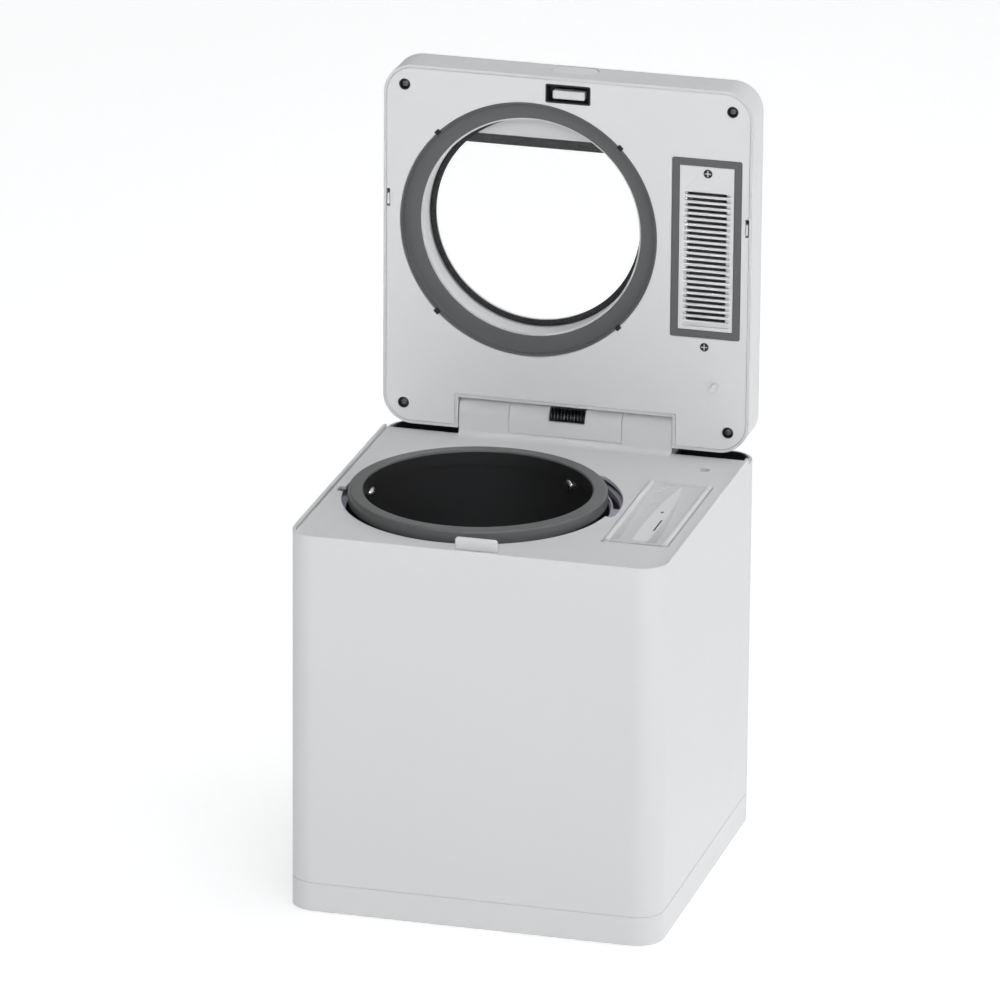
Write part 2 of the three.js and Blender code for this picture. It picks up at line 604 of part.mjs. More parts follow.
function lidOutline(inset) {
  const [x, y0, y1, r] = [WIDTH / 2 - inset, LID_FRONT + inset, LID_REAR - inset, LID_CORNER - inset];
  return roundedRect(-x, x, y0, y1, r);
}

const lidCut = (grow) => block(-CUT_X - grow, CUT_X + grow, CUT_Y - grow, FAR, -FAR, FAR);

function makeLidShell() {
  const skin = cut(crowned(lidOutline(0), LID_FACE, LID_BACK, 1.6), lidCut(0));
  const room = cut(prism(lidOutline(LID_WALL), LID_FACE - 1, LID_BACK - LID_PLATE), lidCut(LID_WALL));
  const bosses = [[-122, -CUT_X - 1], [CUT_X + 1, 122]].map(([x0, x1]) => rodX(0, 0, 6.4, x0, x1));
  const bore = rodX(0, 0, SHAFT_R + SHAFT_CLEAR, -120, 120);
  const sight = cut(pole(CX, CY, WINDOW_R, 10, 30, ROUND), block(-200, 200, -300, PANEL.y1 - 9, 0, 40));
  const inlay = block(-PANEL.x, PANEL.x, PANEL.y0, PANEL.y1, LID_BACK - 1.6, LID_BACK + 5);
  const slot = buttonBody(GAP, LID_FRONT - 2, LID_FRONT + 6);
  piece('lid_shell', cut(union(cut(skin, room), ...bosses), bore, sight, inlay, slot), paleShell, lid);
}

// Pill-shaped body of the release button, along Y.
function buttonBody(grow, y0, y1) {
  const [w, h] = [BUTTON.w / 2 + grow, BUTTON.h / 2 + grow];
  const pill = roundedRect(-w, w, -h, h, h - 0.05);
  return prism(pill, 0, y1 - y0, 6).rotate([90, 0, 0]).translate([0, y1, BUTTON.z]);
}

function makeLiner() {
  const edge = LID_WALL + GAP;
  const plate = cut(prism(lidOutline(edge), LID_FACE, LID_FACE + LINER_T), lidCut(edge));
  const well = turned([
    [88.4, -5.6], [104.9, -5.6], [104.9, LID_FACE], [106, LID_FACE], [106, -3.6], [90.6, -3.6],
    [90.6, 12], [88.4, 12],
  ], CX, CY);
  const mouth = pole(CX, CY, 105.4, -40, -7, ROUND);
  const { x, y0, y1, roof } = LATCH;
  const pocket = block(-x - 1.2, x + 1.2, y0 - 1.2, y1 + 1.2, LID_FACE + 0.5, roof + 1.2);
  const room = union(block(-x, x, y0, y1, -40, roof), block(-5, 5, y0, y1, roof - 1, roof + 3));
  const g = GRILLE;
  const ledge = block(g.x0 - 2, g.x1 + 2, g.y0 - 2, g.y1 + 2, LID_FACE + LINER_T - 0.2, -10.6);
  const window = block(g.x0 - GAP, g.x1 + GAP, g.y0 - GAP, g.y1 + GAP, -40, -12.4);
  const vent = block(g.x0 + 11, g.x1 - 11, g.y0 + 14, g.y1 - 14, -40, 0);
  const cups = SCREWS.map(([sx, sy]) => pole(sx, sy, 6, LID_FACE + 0.5, -8.4, 12));
  const recesses = SCREWS.map(([sx, sy]) => pole(sx, sy, 4.6, -40, -9.6, 12));
  const bores = SCREWS.map(([sx, sy]) => pole(sx, sy, 2.1, -12, 0, 8));
  const notches = [-148, 144.6].map((nx) => block(nx, nx + 3.4, -182.7, -168, -40, -13));
  const pinHole = pole(PIN.x, PIN.y - HINGE_Y, 2.7, -40, 0, 16);
  const plateAll = cut(union(cut(plate, mouth), well, pocket, ledge, ...cups),
    room, window, vent, pinHole, ...recesses, ...bores, ...notches);
  piece('lid_liner', plateAll, paleInside, lid);
}

function makeLidFittings() {
  piece('lid_gasket', turned([
    [90, -7.6], [103.2, -7.6], [103.2, -14.4], [GASKET_R - 0.1, -14.4], [GASKET_R - 0.1, -5.9], [90, -5.9],
  ], CX, CY), greyRubber, lid);
  piece('window_glass', turned([[0, 12.4], [88.6, 12.4], [88.6, 15.2], [0, 15.2]], CX, CY), clear, lid);
  piece('window_seal', tube(WINDOW_R - 0.4, 88.6, 15.5, 16.3, CX, CY), black, lid);

  const p = PANEL;
  const panel = block(-p.x + GAP, p.x - GAP, p.y0 + GAP, p.y1 - GAP, LID_BACK - 1.3, LID_BACK);
  piece('control_panel', panel, black, lid);
  const chips = [-70, -25, 20, 60].map((x) => block(x, x + 14, -278, -268, 6.4, 9.5));
  piece('control_board', union(block(-90, 90, -281, -254, 5, 6.6), ...chips), board, lid);

  const g = GRILLE;
  const inner = g.border - GAP;
  const opening = block(g.x0 + inner, g.x1 - inner, g.y0 + inner, g.y1 - inner, -20, 0);
  piece('grille_gasket', cut(block(g.x0, g.x1, g.y0, g.y1, -14.5, -12.7), opening), greyRubber, lid);
  const slots = Array.from({ length: g.slots }, (_, i) => {
    const y = g.y0 + 27.4 + i * g.pitch;
    return block(95.2, 132.4, y, y + g.pitch / 2, -20, 0);
  });
  const plate = block(g.x0 + g.border, g.x1 - g.border, g.y0 + g.border, g.y1 - g.border, -14.3, -12.7);
  const bore = pole((g.x0 + g.x1) / 2, g.y0 + 11.6, 2, -20, 0, 16);
  piece('grille_plate', cut(plate, ...slots, bore), paleInside, lid);

  const pin = turned([
    [0, -22.6], [1.8, -22.6], [2.4, -22], [2.4, -11.9], [4.4, -11.9], [4.4, -10.4], [0, -10.4],
  ], PIN.x, PIN.y - HINGE_Y, 12);
  piece('lid_pin', pin, white, lid);
  SCREWS.forEach(([x, y], i) => {
    const screw = turned([
      [0, -12.9], [2.4, -12.8], [3.7, -11.4], [3.7, -9.9], [1.7, -9.9], [1.7, 2], [0, 3.2],
    ], x, y, 10);
    piece(`lid_screw_${i + 1}`, screw, darkSteel, lid);
  });

  piece('release_button', buttonBody(0, LID_FRONT + 0.2, LID_FRONT + 3.4), paleShell, lid);
  const slider = union(
    block(-13, 13, -274.4, -267.6, -12.6, -4.2),
    block(-4, 4, -272, -268.6, -5, 3),
    block(-4, 4, LID_FRONT + 3.7, -268.6, -1, 3),
  );
  piece('latch_slider', slider, white, lid);
}

makePlinth();
makeShell();
makeDeck();
makeStriker();
makeHinge();
makeFilter();
makeFilterWell();
makeDrum();
makeTub();
makeDrive();
makeAir();
makeElectrics();
makeLidShell();
makeLiner();
makeLidFittings();

export default dryer;
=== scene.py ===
import json
import math

import bmesh
import bpy
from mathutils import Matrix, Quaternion, Vector


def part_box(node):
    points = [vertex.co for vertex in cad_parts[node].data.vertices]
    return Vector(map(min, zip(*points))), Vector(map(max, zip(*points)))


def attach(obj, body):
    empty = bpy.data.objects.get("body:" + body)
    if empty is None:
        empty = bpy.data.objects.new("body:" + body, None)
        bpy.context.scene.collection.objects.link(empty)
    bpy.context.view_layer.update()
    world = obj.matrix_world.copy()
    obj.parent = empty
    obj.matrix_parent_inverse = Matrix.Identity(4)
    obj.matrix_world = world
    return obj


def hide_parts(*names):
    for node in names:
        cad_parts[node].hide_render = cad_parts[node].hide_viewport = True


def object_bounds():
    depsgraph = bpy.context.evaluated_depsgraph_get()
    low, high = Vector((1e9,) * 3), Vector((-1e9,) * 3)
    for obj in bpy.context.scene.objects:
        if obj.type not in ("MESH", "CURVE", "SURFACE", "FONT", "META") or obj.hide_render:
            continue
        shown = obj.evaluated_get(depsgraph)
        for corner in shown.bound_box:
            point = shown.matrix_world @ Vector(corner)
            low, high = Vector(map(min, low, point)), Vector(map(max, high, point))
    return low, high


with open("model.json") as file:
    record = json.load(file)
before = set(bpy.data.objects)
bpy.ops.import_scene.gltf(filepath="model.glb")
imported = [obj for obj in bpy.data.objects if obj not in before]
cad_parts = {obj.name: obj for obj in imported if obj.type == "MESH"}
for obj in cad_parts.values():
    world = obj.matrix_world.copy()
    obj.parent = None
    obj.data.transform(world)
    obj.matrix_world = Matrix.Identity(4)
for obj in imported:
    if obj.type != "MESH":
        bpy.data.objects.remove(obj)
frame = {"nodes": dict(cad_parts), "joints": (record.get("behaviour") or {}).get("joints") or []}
cad_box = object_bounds()
mm = 0.001
scene = bpy.context.scene

# ---- camera ------------------------------------------------------------------
# A long lens, a little to the right of the front and above the lid's hinge.
azimuth, elevation, roll = (math.radians(a) for a in (15.206, 19.372, 0.439))
level = math.cos(elevation)
back = Vector((math.sin(azimuth) * level, -math.cos(azimuth) * level, math.sin(elevation)))
bpy.ops.object.camera_add(location=(1.77768, -6.61545, 2.71308))
camera = bpy.context.object
camera.rotation_mode = "QUATERNION"
camera.rotation_quaternion = back.to_track_quat("Z", "Y") @ Quaternion((0, 0, 1), roll)
camera.data.lens = 334.24
camera.data.clip_end = 100
scene.camera = camera
scene.view_settings.view_transform = "Standard"

# ---- floor and light ---------------------------------------------------------
# A white floor far wider than the view, a pale sky that is darker on the left, and
# four soft lights. The last is a narrow one turned on the open lid.
bpy.ops.mesh.primitive_circle_add(vertices=96, radius=14, fill_type="NGON", location=(0, 0, 0))
floor = bpy.context.object
floor.name = "studio_floor"
floor_paint = bpy.data.materials.new("studio_floor")
floor_paint.use_nodes = True
floor_shader = floor_paint.node_tree.nodes["Principled BSDF"]
floor_shader.inputs["Base Color"].default_value = (0.93, 0.93, 0.93, 1)
floor_shader.inputs["Roughness"].default_value = 0.9
floor_shader.inputs["Specular IOR Level"].default_value = 0.1
floor_shader.inputs["Emission Color"].default_value = (1, 1, 1, 1)
floor_shader.inputs["Emission Strength"].default_value = 0.42
floor.data.materials.append(floor_paint)

sky = bpy.data.worlds.new("studio")
scene.world = sky
sky.use_nodes = True
sky_nodes, sky_links = sky.node_tree.nodes, sky.node_tree.links
direction = sky_nodes.new("ShaderNodeTexCoord")
parts = sky_nodes.new("ShaderNodeSeparateXYZ")
ramp = sky_nodes.new("ShaderNodeValToRGB")
ramp.color_ramp.elements[0].position = 0.05
ramp.color_ramp.elements[0].color = (0.05, 0.05, 0.052, 1)
ramp.color_ramp.elements[1].position = 0.62
ramp.color_ramp.elements[1].color = (0.62, 0.63, 0.64, 1)
spread = sky_nodes.new("ShaderNodeMapRange")
spread.inputs["From Min"].default_value = -1
camera_ray = sky_nodes.new("ShaderNodeLightPath")
choice = sky_nodes.new("ShaderNodeMix")
choice.data_type = "RGBA"
choice.inputs["B"].default_value = (1, 1, 1, 1)
sky_links.new(direction.outputs["Generated"], parts.inputs[0])
sky_links.new(parts.outputs["X"], spread.inputs["Value"])
sky_links.new(spread.outputs["Result"], ramp.inputs["Fac"])
sky_links.new(camera_ray.outputs["Is Camera Ray"], choice.inputs["Factor"])
sky_links.new(ramp.outputs["Color"], choice.inputs["A"])
sky_links.new(choice.outputs["Result"], sky_nodes["Background"].inputs["Color"])

middle = (cad_box[0] + cad_box[1]) / 2
lights = [
    # name, place, size, watts, aim, spread in degrees
    ("key", (2.2, -3.2, 3.4), 2.6, 26, middle, 180),
    ("side", (3.6, 0.6, 1.6), 2.4, 12, middle, 180),
    ("top", (-0.3, 0.4, 4.2), 3.0, 28, middle, 180),
    ("lid", (0.5, -3.0, 1.9), 0.8, 0.38, Vector((0, 0.1, 0.4)), 12),
]
for name, place, size, watts, aim, spread_angle in lights:
    bpy.ops.object.light_add(type="AREA", location=place)
    lamp = bpy.context.object
    lamp.name = f"light_{name}"
    lamp.data.size = size
    lamp.data.energy = watts
    lamp.data.spread = math.radians(spread_angle)
    lamp.rotation_mode = "QUATERNION"
    lamp.rotation_quaternion = (Vector(place) - aim).to_track_quat("Z", "Y")

# ---- plinth ------------------------------------------------------------------
# A shallow moulded tray that closes the body from below. The shell stands on it,
# located by a low lip, and a fine seam is left between the two.


class Signal:
    """An output of a material's node. Sums written on it add the Math nodes they need."""

    def __init__(self, paint, socket):
        self.paint = paint
        self.socket = socket

    def math(self, operation, first, second):
        return self.paint.node("ShaderNodeMath", {"operation": operation}, {0: first, 1: second})

    def __add__(self, other):
        return self.math("ADD", self, other)

    def __radd__(self, other):
        return self.math("ADD", other, self)

    def __sub__(self, other):
        return self.math("SUBTRACT", self, other)

    def __rsub__(self, other):
        return self.math("SUBTRACT", other, self)

    def __mul__(self, other):
        return self.math("MULTIPLY", self, other)

    def __rmul__(self, other):
        return self.math("MULTIPLY", other, self)


class Paint:
    """A material being mixed. Every node but Math comes from node()."""

    def __init__(self, name):
        self.material = bpy.data.materials.new(name)
        self.material.use_nodes = True
        self.tree = self.material.node_tree
        self.tree.nodes.clear()
        self.place = self.node("ShaderNodeTexCoord", {}, {}, "Object")

    def node(self, kind, settings, sockets, output=0):
        node = self.tree.nodes.new(kind)
        for key, value in settings.items():
            if key == "stops":
                while len(node.color_ramp.elements) < len(value):
                    node.color_ramp.elements.new(0.5)
                for element, (position, color) in zip(node.color_ramp.elements, value):
                    element.position = position
                    element.color = color
            else:
                setattr(node, key, value)
        for key, value in sockets.items():
            if isinstance(value, Signal):
                self.tree.links.new(value.socket, node.inputs[key])
            else:
                node.inputs[key].default_value = value
        return Signal(self, node.outputs[output])

    def noise(self, scale, detail=2.0, place=None):
        sockets = {"Vector": place or self.place, "Scale": scale, "Detail": detail}
        return self.node("ShaderNodeTexNoise", {}, sockets, "Fac")

    def tint(self, factor, low, high):
        """A colour between two, by a factor from 0 to 1."""
        sockets = {"Factor": factor, "A": (*low, 1), "B": (*high, 1)}
        return self.node("ShaderNodeMix", {"data_type": "RGBA"}, sockets, "Result")

    def bump(self, height, strength, distance):
        sockets = {"Height": height, "Strength": strength, "Distance": distance}
        return self.node("ShaderNodeBump", {}, sockets)

    def shader(self, sockets):
        """Ends the material in one plastic, metal, rubber or glass shader."""
        surface = self.node("ShaderNodeBsdfPrincipled", {}, sockets)
        output = self.tree.nodes.new("ShaderNodeOutputMaterial")
        self.tree.links.new(surface.socket, output.inputs["Surface"])
        return self.material


def moulded(name, color, roughness, grain=0.12, sheen=0.5):
    """Injection-moulded plastic: a fine spark grain, soft flow marks, a little unevenness."""
    paint = Paint(name)
    flow = paint.noise(7, 3)
    wear = paint.noise(90, 3)
    fine = paint.noise(2200, 2)
    dark = tuple(0.955 * c for c in color)
    return paint.shader({
        "Base Color": paint.tint(0.25 + 0.5 * flow + 0.1 * wear, dark, color),
        "Roughness": roughness - 0.05 + 0.1 * wear,
        "Specular IOR Level": sheen,
        "Normal": paint.bump(fine + 0.4 * wear, grain, 0.05 * mm),
    })


pale_plastic = moulded("pale_plastic", (0.72, 0.725, 0.73), 0.42)


def alone(obj):
    """Makes one object the only selected and active one."""
    bpy.ops.object.select_all(action="DESELECT")
    obj.select_set(True)
    bpy.context.view_layer.objects.active = obj


def open_mesh(obj):
    alone(obj)
    bpy.ops.object.mode_set(mode="EDIT")


def close_mesh():
    bpy.ops.object.mode_set(mode="OBJECT")


def choose(kind, test):
    """In edit mode, selects the verts, edges or faces for which test(place, direction) holds."""
    bpy.ops.mesh.select_mode(type=kind)
    bpy.ops.mesh.select_all(action="DESELECT")
    mesh = bmesh.from_edit_mesh(bpy.context.edit_object.data)
    if kind == "FACE":
        found = [f for f in mesh.faces if test(f.calc_center_median(), f.normal)]
    else:
        ends = [(e, *(v.co for v in e.verts)) for e in mesh.edges]
        found = [e for e, a, b in ends if test((a + b) / 2, (b - a).normalized())]
    for item in found:
        item.select_set(True)
    bmesh.update_edit_mesh(bpy.context.edit_object.data)


def slab(name, low, high, radius=0.0, axis=2, steps=10, where=None):
    """A block from corner to corner, with the edges along one axis rounded."""
    low, high = Vector(low), Vector(high)
    bpy.ops.object.select_all(action="DESELECT")
    bpy.ops.mesh.primitive_cube_add(size=1, location=(low + high) / 2)
    obj = bpy.context.object
    obj.name = obj.data.name = name
    obj.scale = high - low
    bpy.ops.object.transform_apply()
    if radius:
        open_mesh(obj)
        choose("EDGE", lambda at, way: abs(way[axis]) > 0.9 and (where is None or where(at)))
        bpy.ops.mesh.bevel(offset=radius, segments=steps, affect="EDGES")
        close_mesh()
    return obj


def applied(obj, kind, **settings):
    """Adds a modifier with these settings and applies it."""
    alone(obj)
    modifier = obj.modifiers.new(kind.lower(), kind)
    for key, value in settings.items():
        setattr(modifier, key, value)
    bpy.ops.object.modifier_apply(modifier=modifier.name)


def carve(obj, *tools, how="DIFFERENCE"):
    """Cuts the tools out of a piece, or joins them to it, and throws them away."""
    for tool in tools:
        applied(obj, "BOOLEAN", operation=how, object=tool, solver="EXACT")
        bpy.data.objects.remove(tool)


def soften(obj, width, steps=2, angle=40):
    """Rounds every edge sharper than the angle, and keeps the flat faces flat to look at."""
    applied(obj, "BEVEL", width=width, segments=steps, limit_method="ANGLE",
            angle_limit=math.radians(angle), use_clamp_overlap=True, miter_outer="MITER_ARC")
    smooth(obj)


def smooth(obj, angle=42):
    alone(obj)
    bpy.ops.object.shade_smooth_by_angle(angle=math.radians(angle))
    applied(obj, "WEIGHTED_NORMAL", keep_sharp=True, mode="FACE_AREA")


def fit(obj, material, body, slot, *nodes):
    """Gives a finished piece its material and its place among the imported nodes."""
    obj.data.materials.clear()
    obj.data.materials.append(material)
    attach(obj, body)
    if nodes:
        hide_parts(*nodes)


corner = 22 * mm
wall = 2.6 * mm
low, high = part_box("plinth")
plinth = slab("plinth_tray", low, high, corner, steps=16)
open_mesh(plinth)
choose("FACE", lambda at, way: way.z > 0.9)
bpy.ops.mesh.inset(thickness=wall)
bpy.ops.mesh.extrude_region_move(TRANSFORM_OT_translate={"value": (0, 0, low.z + 3 * mm - high.z)})
close_mesh()
soften(plinth, 0.3 * mm, 2, 60)
fit(plinth, pale_plastic, "body", "pale_shell", "plinth")
seam = Vector((0.45 * mm, 0.45 * mm, mm))
lip = slab("plinth_lip", (low.x + seam.x, low.y + seam.y, high.z - seam.z),
           (high.x - seam.x, high.y - seam.y, high.z + seam.z), corner - seam.x, steps=16)
lip_wall = Vector((1.5 * mm, 1.5 * mm, 0))
past_lip = Vector((0, 0, 5 * mm))
carve(lip, slab("room", low + seam + lip_wall, high - seam - lip_wall + past_lip, corner - 2 * mm, steps=12))
smooth(lip)
fit(lip, pale_plastic, "body", "pale_shell")

# ---- feet --------------------------------------------------------------------
# Four soft rubber pads. Each has a stem pushed up through the plinth, and a ring
# groove underneath that grips the worktop.


def rubber(name, color, roughness=0.72):
    """Soft rubber: matt, with a fine skin and some bloom on the surface."""
    paint = Paint(name)
    bloom = paint.noise(45, 4)
    skin = paint.noise(1500, 3)
    pale = tuple(min(1, 1.12 * c) for c in color)
    return paint.shader({
        "Base Color": paint.tint(bloom, color, pale),
        "Roughness": roughness - 0.08 + 0.16 * bloom,
        "Specular IOR Level": 0.35,
        "Normal": paint.bump(skin, 0.25, 0.06 * mm),
    })


grey_rubber = rubber("grey_rubber", (0.135, 0.137, 0.138))


def eased(corners, steps=4):
    """Outline points from corners (a, b, radius), each corner rounded by an arc."""
    points = []
    for i, (a, b, radius) in enumerate(corners):
        here = Vector((a, b))
        if not radius:
            points.append(here)
            continue
        before = (Vector(corners[i - 1][:2]) - here).normalized()
        after = (Vector(corners[(i + 1) % len(corners)][:2]) - here).normalized()
        half = before.angle(after) / 2
        centre = here + (before + after).normalized() * radius / math.sin(half)
        first = here + before * radius / math.tan(half) - centre
        last = here + after * radius / math.tan(half) - centre
        start = math.atan2(first.y, first.x)
        sweep = math.remainder(math.atan2(last.y, last.x) - start, 2 * math.pi)
        for k in range(steps + 1):
            angle = start + sweep * k / steps
            points.append(centre + radius * Vector((math.cos(angle), math.sin(angle))))
    return points


def line(name, points):
    """One vertex drawn out along a row of points. Leaves the mesh open for editing."""
    bpy.ops.object.select_all(action="DESELECT")
    bpy.ops.mesh.primitive_plane_add(size=mm, location=points[0])
    obj = bpy.context.object
    obj.name = obj.data.name = name
    bpy.ops.object.transform_apply()
    open_mesh(obj)
    bpy.ops.mesh.select_mode(type="VERT")
    bpy.ops.mesh.select_all(action="SELECT")
    bpy.ops.mesh.merge(type="CENTER")
    for here, there in zip(points, points[1:]):
        bpy.ops.mesh.extrude_region_move(TRANSFORM_OT_translate={"value": there - here})
    bpy.ops.mesh.select_all(action="SELECT")
    return obj


def turned(name, corners, centre, axis=2, steps=96, ring=False):
    """An outline of (radius, height, rounding) spun about an axis through the centre.
    A ring's outline closes on itself; any other starts and ends on the axis."""
    side = 1 if axis == 0 else 0
    points = []
    for radius, height in eased(corners):
        point = Vector(centre)
        point[side] += radius
        point[axis] = height
        points.append(point)
    obj = line(name, points)
    if ring:
        bpy.ops.mesh.edge_face_add()
        bpy.ops.mesh.delete(type="ONLY_FACE")
        bpy.ops.mesh.select_all(action="SELECT")
    about = [float(i == axis) for i in range(3)]
    bpy.ops.mesh.spin(steps=steps, angle=2 * math.pi, center=centre, axis=about)
    bpy.ops.mesh.select_all(action="SELECT")
    bpy.ops.mesh.remove_doubles(threshold=0.002 * mm)
    bpy.ops.mesh.normals_make_consistent(inside=False)
    close_mesh()
    return obj


def copied(obj, name, shift):
    """A copy with a mesh of its own, moved in the mesh."""
    alone(obj)
    bpy.ops.object.duplicate()
    twin = bpy.context.object
    twin.name = twin.data.name = name
    open_mesh(twin)
    bpy.ops.mesh.select_all(action="SELECT")
    bpy.ops.transform.translate(value=shift)
    close_mesh()
    return twin


low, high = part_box("foot_1")
first_foot = (low + high) / 2
pad_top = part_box("plinth")[0].z - 0.3 * mm
foot = turned("foot_pad_1", [
    (0, 0.8 * mm, 0), (6.2 * mm, 0.8 * mm, 0.3 * mm), (6.8 * mm, 0, 0.3 * mm), (11 * mm, 0, 0.9 * mm),
    (11 * mm, pad_top, 0.4 * mm), (3 * mm, pad_top, 0.3 * mm), (3 * mm, high.z, 0.6 * mm), (0, high.z, 0),
], first_foot, steps=48)
smooth(foot)
feet = [foot]
for i in (2, 3, 4):
    low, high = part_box(f"foot_{i}")
    feet.append(copied(foot, f"foot_pad_{i}", (low + high) / 2 - first_foot))
for i, foot in enumerate(feet, 1):
    fit(foot, grey_rubber, "body", "grey_rubber", f"foot_{i}")

# ---- body shell --------------------------------------------------------------
# One tall moulding with rounded upright corners. Its rim stands just proud of the
# deck, and drops behind it to make room for the lid's ears.
low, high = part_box("housing_shell")
rim = high.z
deck_rear = 121.3 * mm
rear_rim = 308 * mm
shell = slab("body_shell", low, high, corner, steps=20)
open_mesh(shell)
choose("FACE", lambda at, way: abs(way.z) > 0.9)
bpy.ops.mesh.delete(type="FACE")
close_mesh()
applied(shell, "SOLIDIFY", thickness=wall, offset=-1, use_even_offset=True)
panel_low, panel_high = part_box("rear_panel")
gap = 0.3 * mm
far = 0.4
carve(
    shell,
    slab("low_rim", (-far, deck_rear, rear_rim), (far, far, far)),
    slab("rear_opening", (panel_low.x - gap, 0.14, panel_low.z - gap),
         (panel_high.x + gap, far, panel_high.z + gap), 3 * mm, axis=1, steps=4),
)
soften(shell, 0.55 * mm, 2, 50)
fit(shell, pale_plastic, "body", "pale_shell", "housing_shell")

# ---- rear panel and power inlet ----------------------------------------------
# A screwed-on plate with rows of exhaust slots and a socket for the power lead.
# The socket is a black block with two round pins.
pale_inside = moulded("pale_inside", (0.79, 0.795, 0.80), 0.46)
black_plastic = moulded("black_plastic", (0.016, 0.0165, 0.018), 0.38, 0.08)


def metal(name, color, roughness, streak=(1, 1, 1), metallic=1.0):
    """Plain or brushed metal: the streak stretches its fine scratches along an axis."""
    paint = Paint(name)
    drawn = paint.node("ShaderNodeMapping", {}, {"Vector": paint.place, "Scale": streak})
    scratches = paint.noise(900, 3, drawn)
    cloud = paint.noise(20, 3)
    dark = tuple(0.82 * c for c in color)
    return paint.shader({
        "Base Color": paint.tint(0.3 + 0.4 * cloud + 0.3 * scratches, dark, color),
        "Metallic": metallic,
        "Roughness": roughness - 0.06 + 0.12 * scratches + 0.05 * cloud,
        "Normal": paint.bump(scratches, 0.15, 0.03 * mm),
    })


dark_screw = metal("dark_screw", (0.24, 0.242, 0.25), 0.34)
bright_steel = metal("bright_steel", (0.62, 0.625, 0.63), 0.25)


def refined(node, name):
    """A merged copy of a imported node's mesh, with its flat faces whole again."""
    alone(frame["nodes"][node])
    bpy.ops.object.duplicate()
    obj = bpy.context.object
    obj.name = obj.data.name = name
    obj.parent = None
    for key in list(obj.keys()):
        del obj[key]
    open_mesh(obj)
    bpy.ops.mesh.select_all(action="SELECT")
    bpy.ops.mesh.remove_doubles(threshold=0.002 * mm)
    bpy.ops.mesh.dissolve_limited(angle_limit=math.radians(0.5))
    close_mesh()
    return obj


def screw(name, centre, radius, depth, out=-1):
    """A round-headed screw with a cross recess. Its head faces along Y, forwards or to the rear."""
    axis = 1
    side = (0, 2)
    face = centre[axis]
    shoulder, under = face - out * radius * 0.34, face - out * depth
    body = turned(name, [
        (0, face, 0), (radius * 0.62, face, radius * 0.3), (radius, shoulder, radius * 0.16),
        (radius, under, 0), (0, under, 0),
    ], centre, axis, 32)
    for i in (0, 1):
        reach = Vector(centre)
        reach[side[i]] += radius * 0.58
        reach[side[1 - i]] += radius * 0.13
        reach[axis] = face + out * mm
        near = 2 * Vector(centre) - reach
        near[axis] = face - out * radius * 0.42
        carve(body, slab("cross", Vector(map(min, near, reach)), Vector(map(max, near, reach))))
    smooth(body, 35)
    return body


panel = refined("rear_panel", "exhaust_panel")
soften(panel, 0.5 * mm, 2, 50)
fit(panel, pale_inside, "body", "pale_inside", "rear_panel")
inlet = refined("power_inlet", "lead_socket")
soften(inlet, 0.25 * mm, 2, 50)
fit(inlet, black_plastic, "body", "black_plastic", "power_inlet")
screw_inset = 7 * mm
left, right = panel_low.x + screw_inset, panel_high.x - screw_inset
bottom, top = panel_low.z + screw_inset, panel_high.z - screw_inset
for i, (x, z) in enumerate([(left, bottom), (right, bottom), (right, top), (left, top)], 1):
    head = screw(f"panel_screw_{i}", Vector((x, panel_high.y + 0.1 * mm, z)), 3.2 * mm, 2.4 * mm, 1)
    fit(head, dark_screw, "body", "spring_steel")

# ---- deck --------------------------------------------------------------------
# The plate round the drum's mouth, set down inside the rim. A hinge block stands on
# it at the rear, hollow below, with a trough each side for the lid's ears.
deck_top = rim - 2.3 * mm
deck_under = deck_top - 3 * mm
hinge_joint = next(j for j in frame["joints"] if j["name"] == "lid_hinge")
hinge = Vector(hinge_joint["pos_m"])
ring_low, ring_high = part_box("drum_ring")
drum_at = (ring_low + ring_high) / 2


def pushed(name, points, shift):
    """A flat outline filled in and pushed out by a vector."""
    obj = line(name, points)
    bpy.ops.mesh.edge_face_add()
    bpy.ops.mesh.extrude_region_move(TRANSFORM_OT_translate={"value": shift})
    bpy.ops.mesh.select_all(action="SELECT")
    bpy.ops.mesh.normals_make_consistent(inside=False)
    close_mesh()
    return obj


def across(name, corners, x0, x1, steps=4):
    """An outline in Y and Z pushed out along X."""
    points = [Vector((x0, y, z)) for y, z in eased(corners, steps)]
    return pushed(name, points, (x1 - x0, 0, 0))


def sector(name, inner, outer, first, last, z0, z1, ease=2 * mm):
    """A piece of a ring about the drum's axis, between two angles, its corners eased."""
    angles = [math.radians(first + (last - first) * i / 24) for i in range(25)]
    between = angles[1:-1]
    rows = [(outer - ease, angles[0]), *((outer, a) for a in between), (outer - ease, angles[-1])]
    rows += [(inner, a) for a in reversed(between)]
    points = [drum_at + Vector((r * math.cos(a), r * math.sin(a), z0 - drum_at.z)) for r, a in rows]
    return pushed(name, points, (0, 0, z1 - z0))


def rod(name, centre, radius, start, end, axis=2, sides=96):
    """A plain round bar along an axis, between two places on it."""
    middle = Vector(centre)
    middle[axis] = (start + end) / 2
    turn = {0: (0, math.pi / 2, 0), 1: (math.pi / 2, 0, 0), 2: (0, 0, 0)}[axis]
    bpy.ops.object.select_all(action="DESELECT")
    bpy.ops.mesh.primitive_cylinder_add(
        vertices=sides, radius=radius, depth=end - start, location=middle, rotation=turn)
    obj = bpy.context.object
    obj.name = name
    bpy.ops.object.transform_apply()
    return obj


def block_outline(inset, front, rear):
    """The hinge block from the side: its front rises into a round about the lid's axis."""
    r = 13.5 * mm - inset
    y = 152.2 * mm - inset
    top = hinge.z + r
    curve = [(hinge.y - r * math.sin(a), hinge.z + r * math.cos(a), 0)
             for a in (math.radians(7.5 * i) for i in range(13))]
    return [(y, rear, 0), (y, top, 5 * mm), *curve, (hinge.y - r, front, 0)]


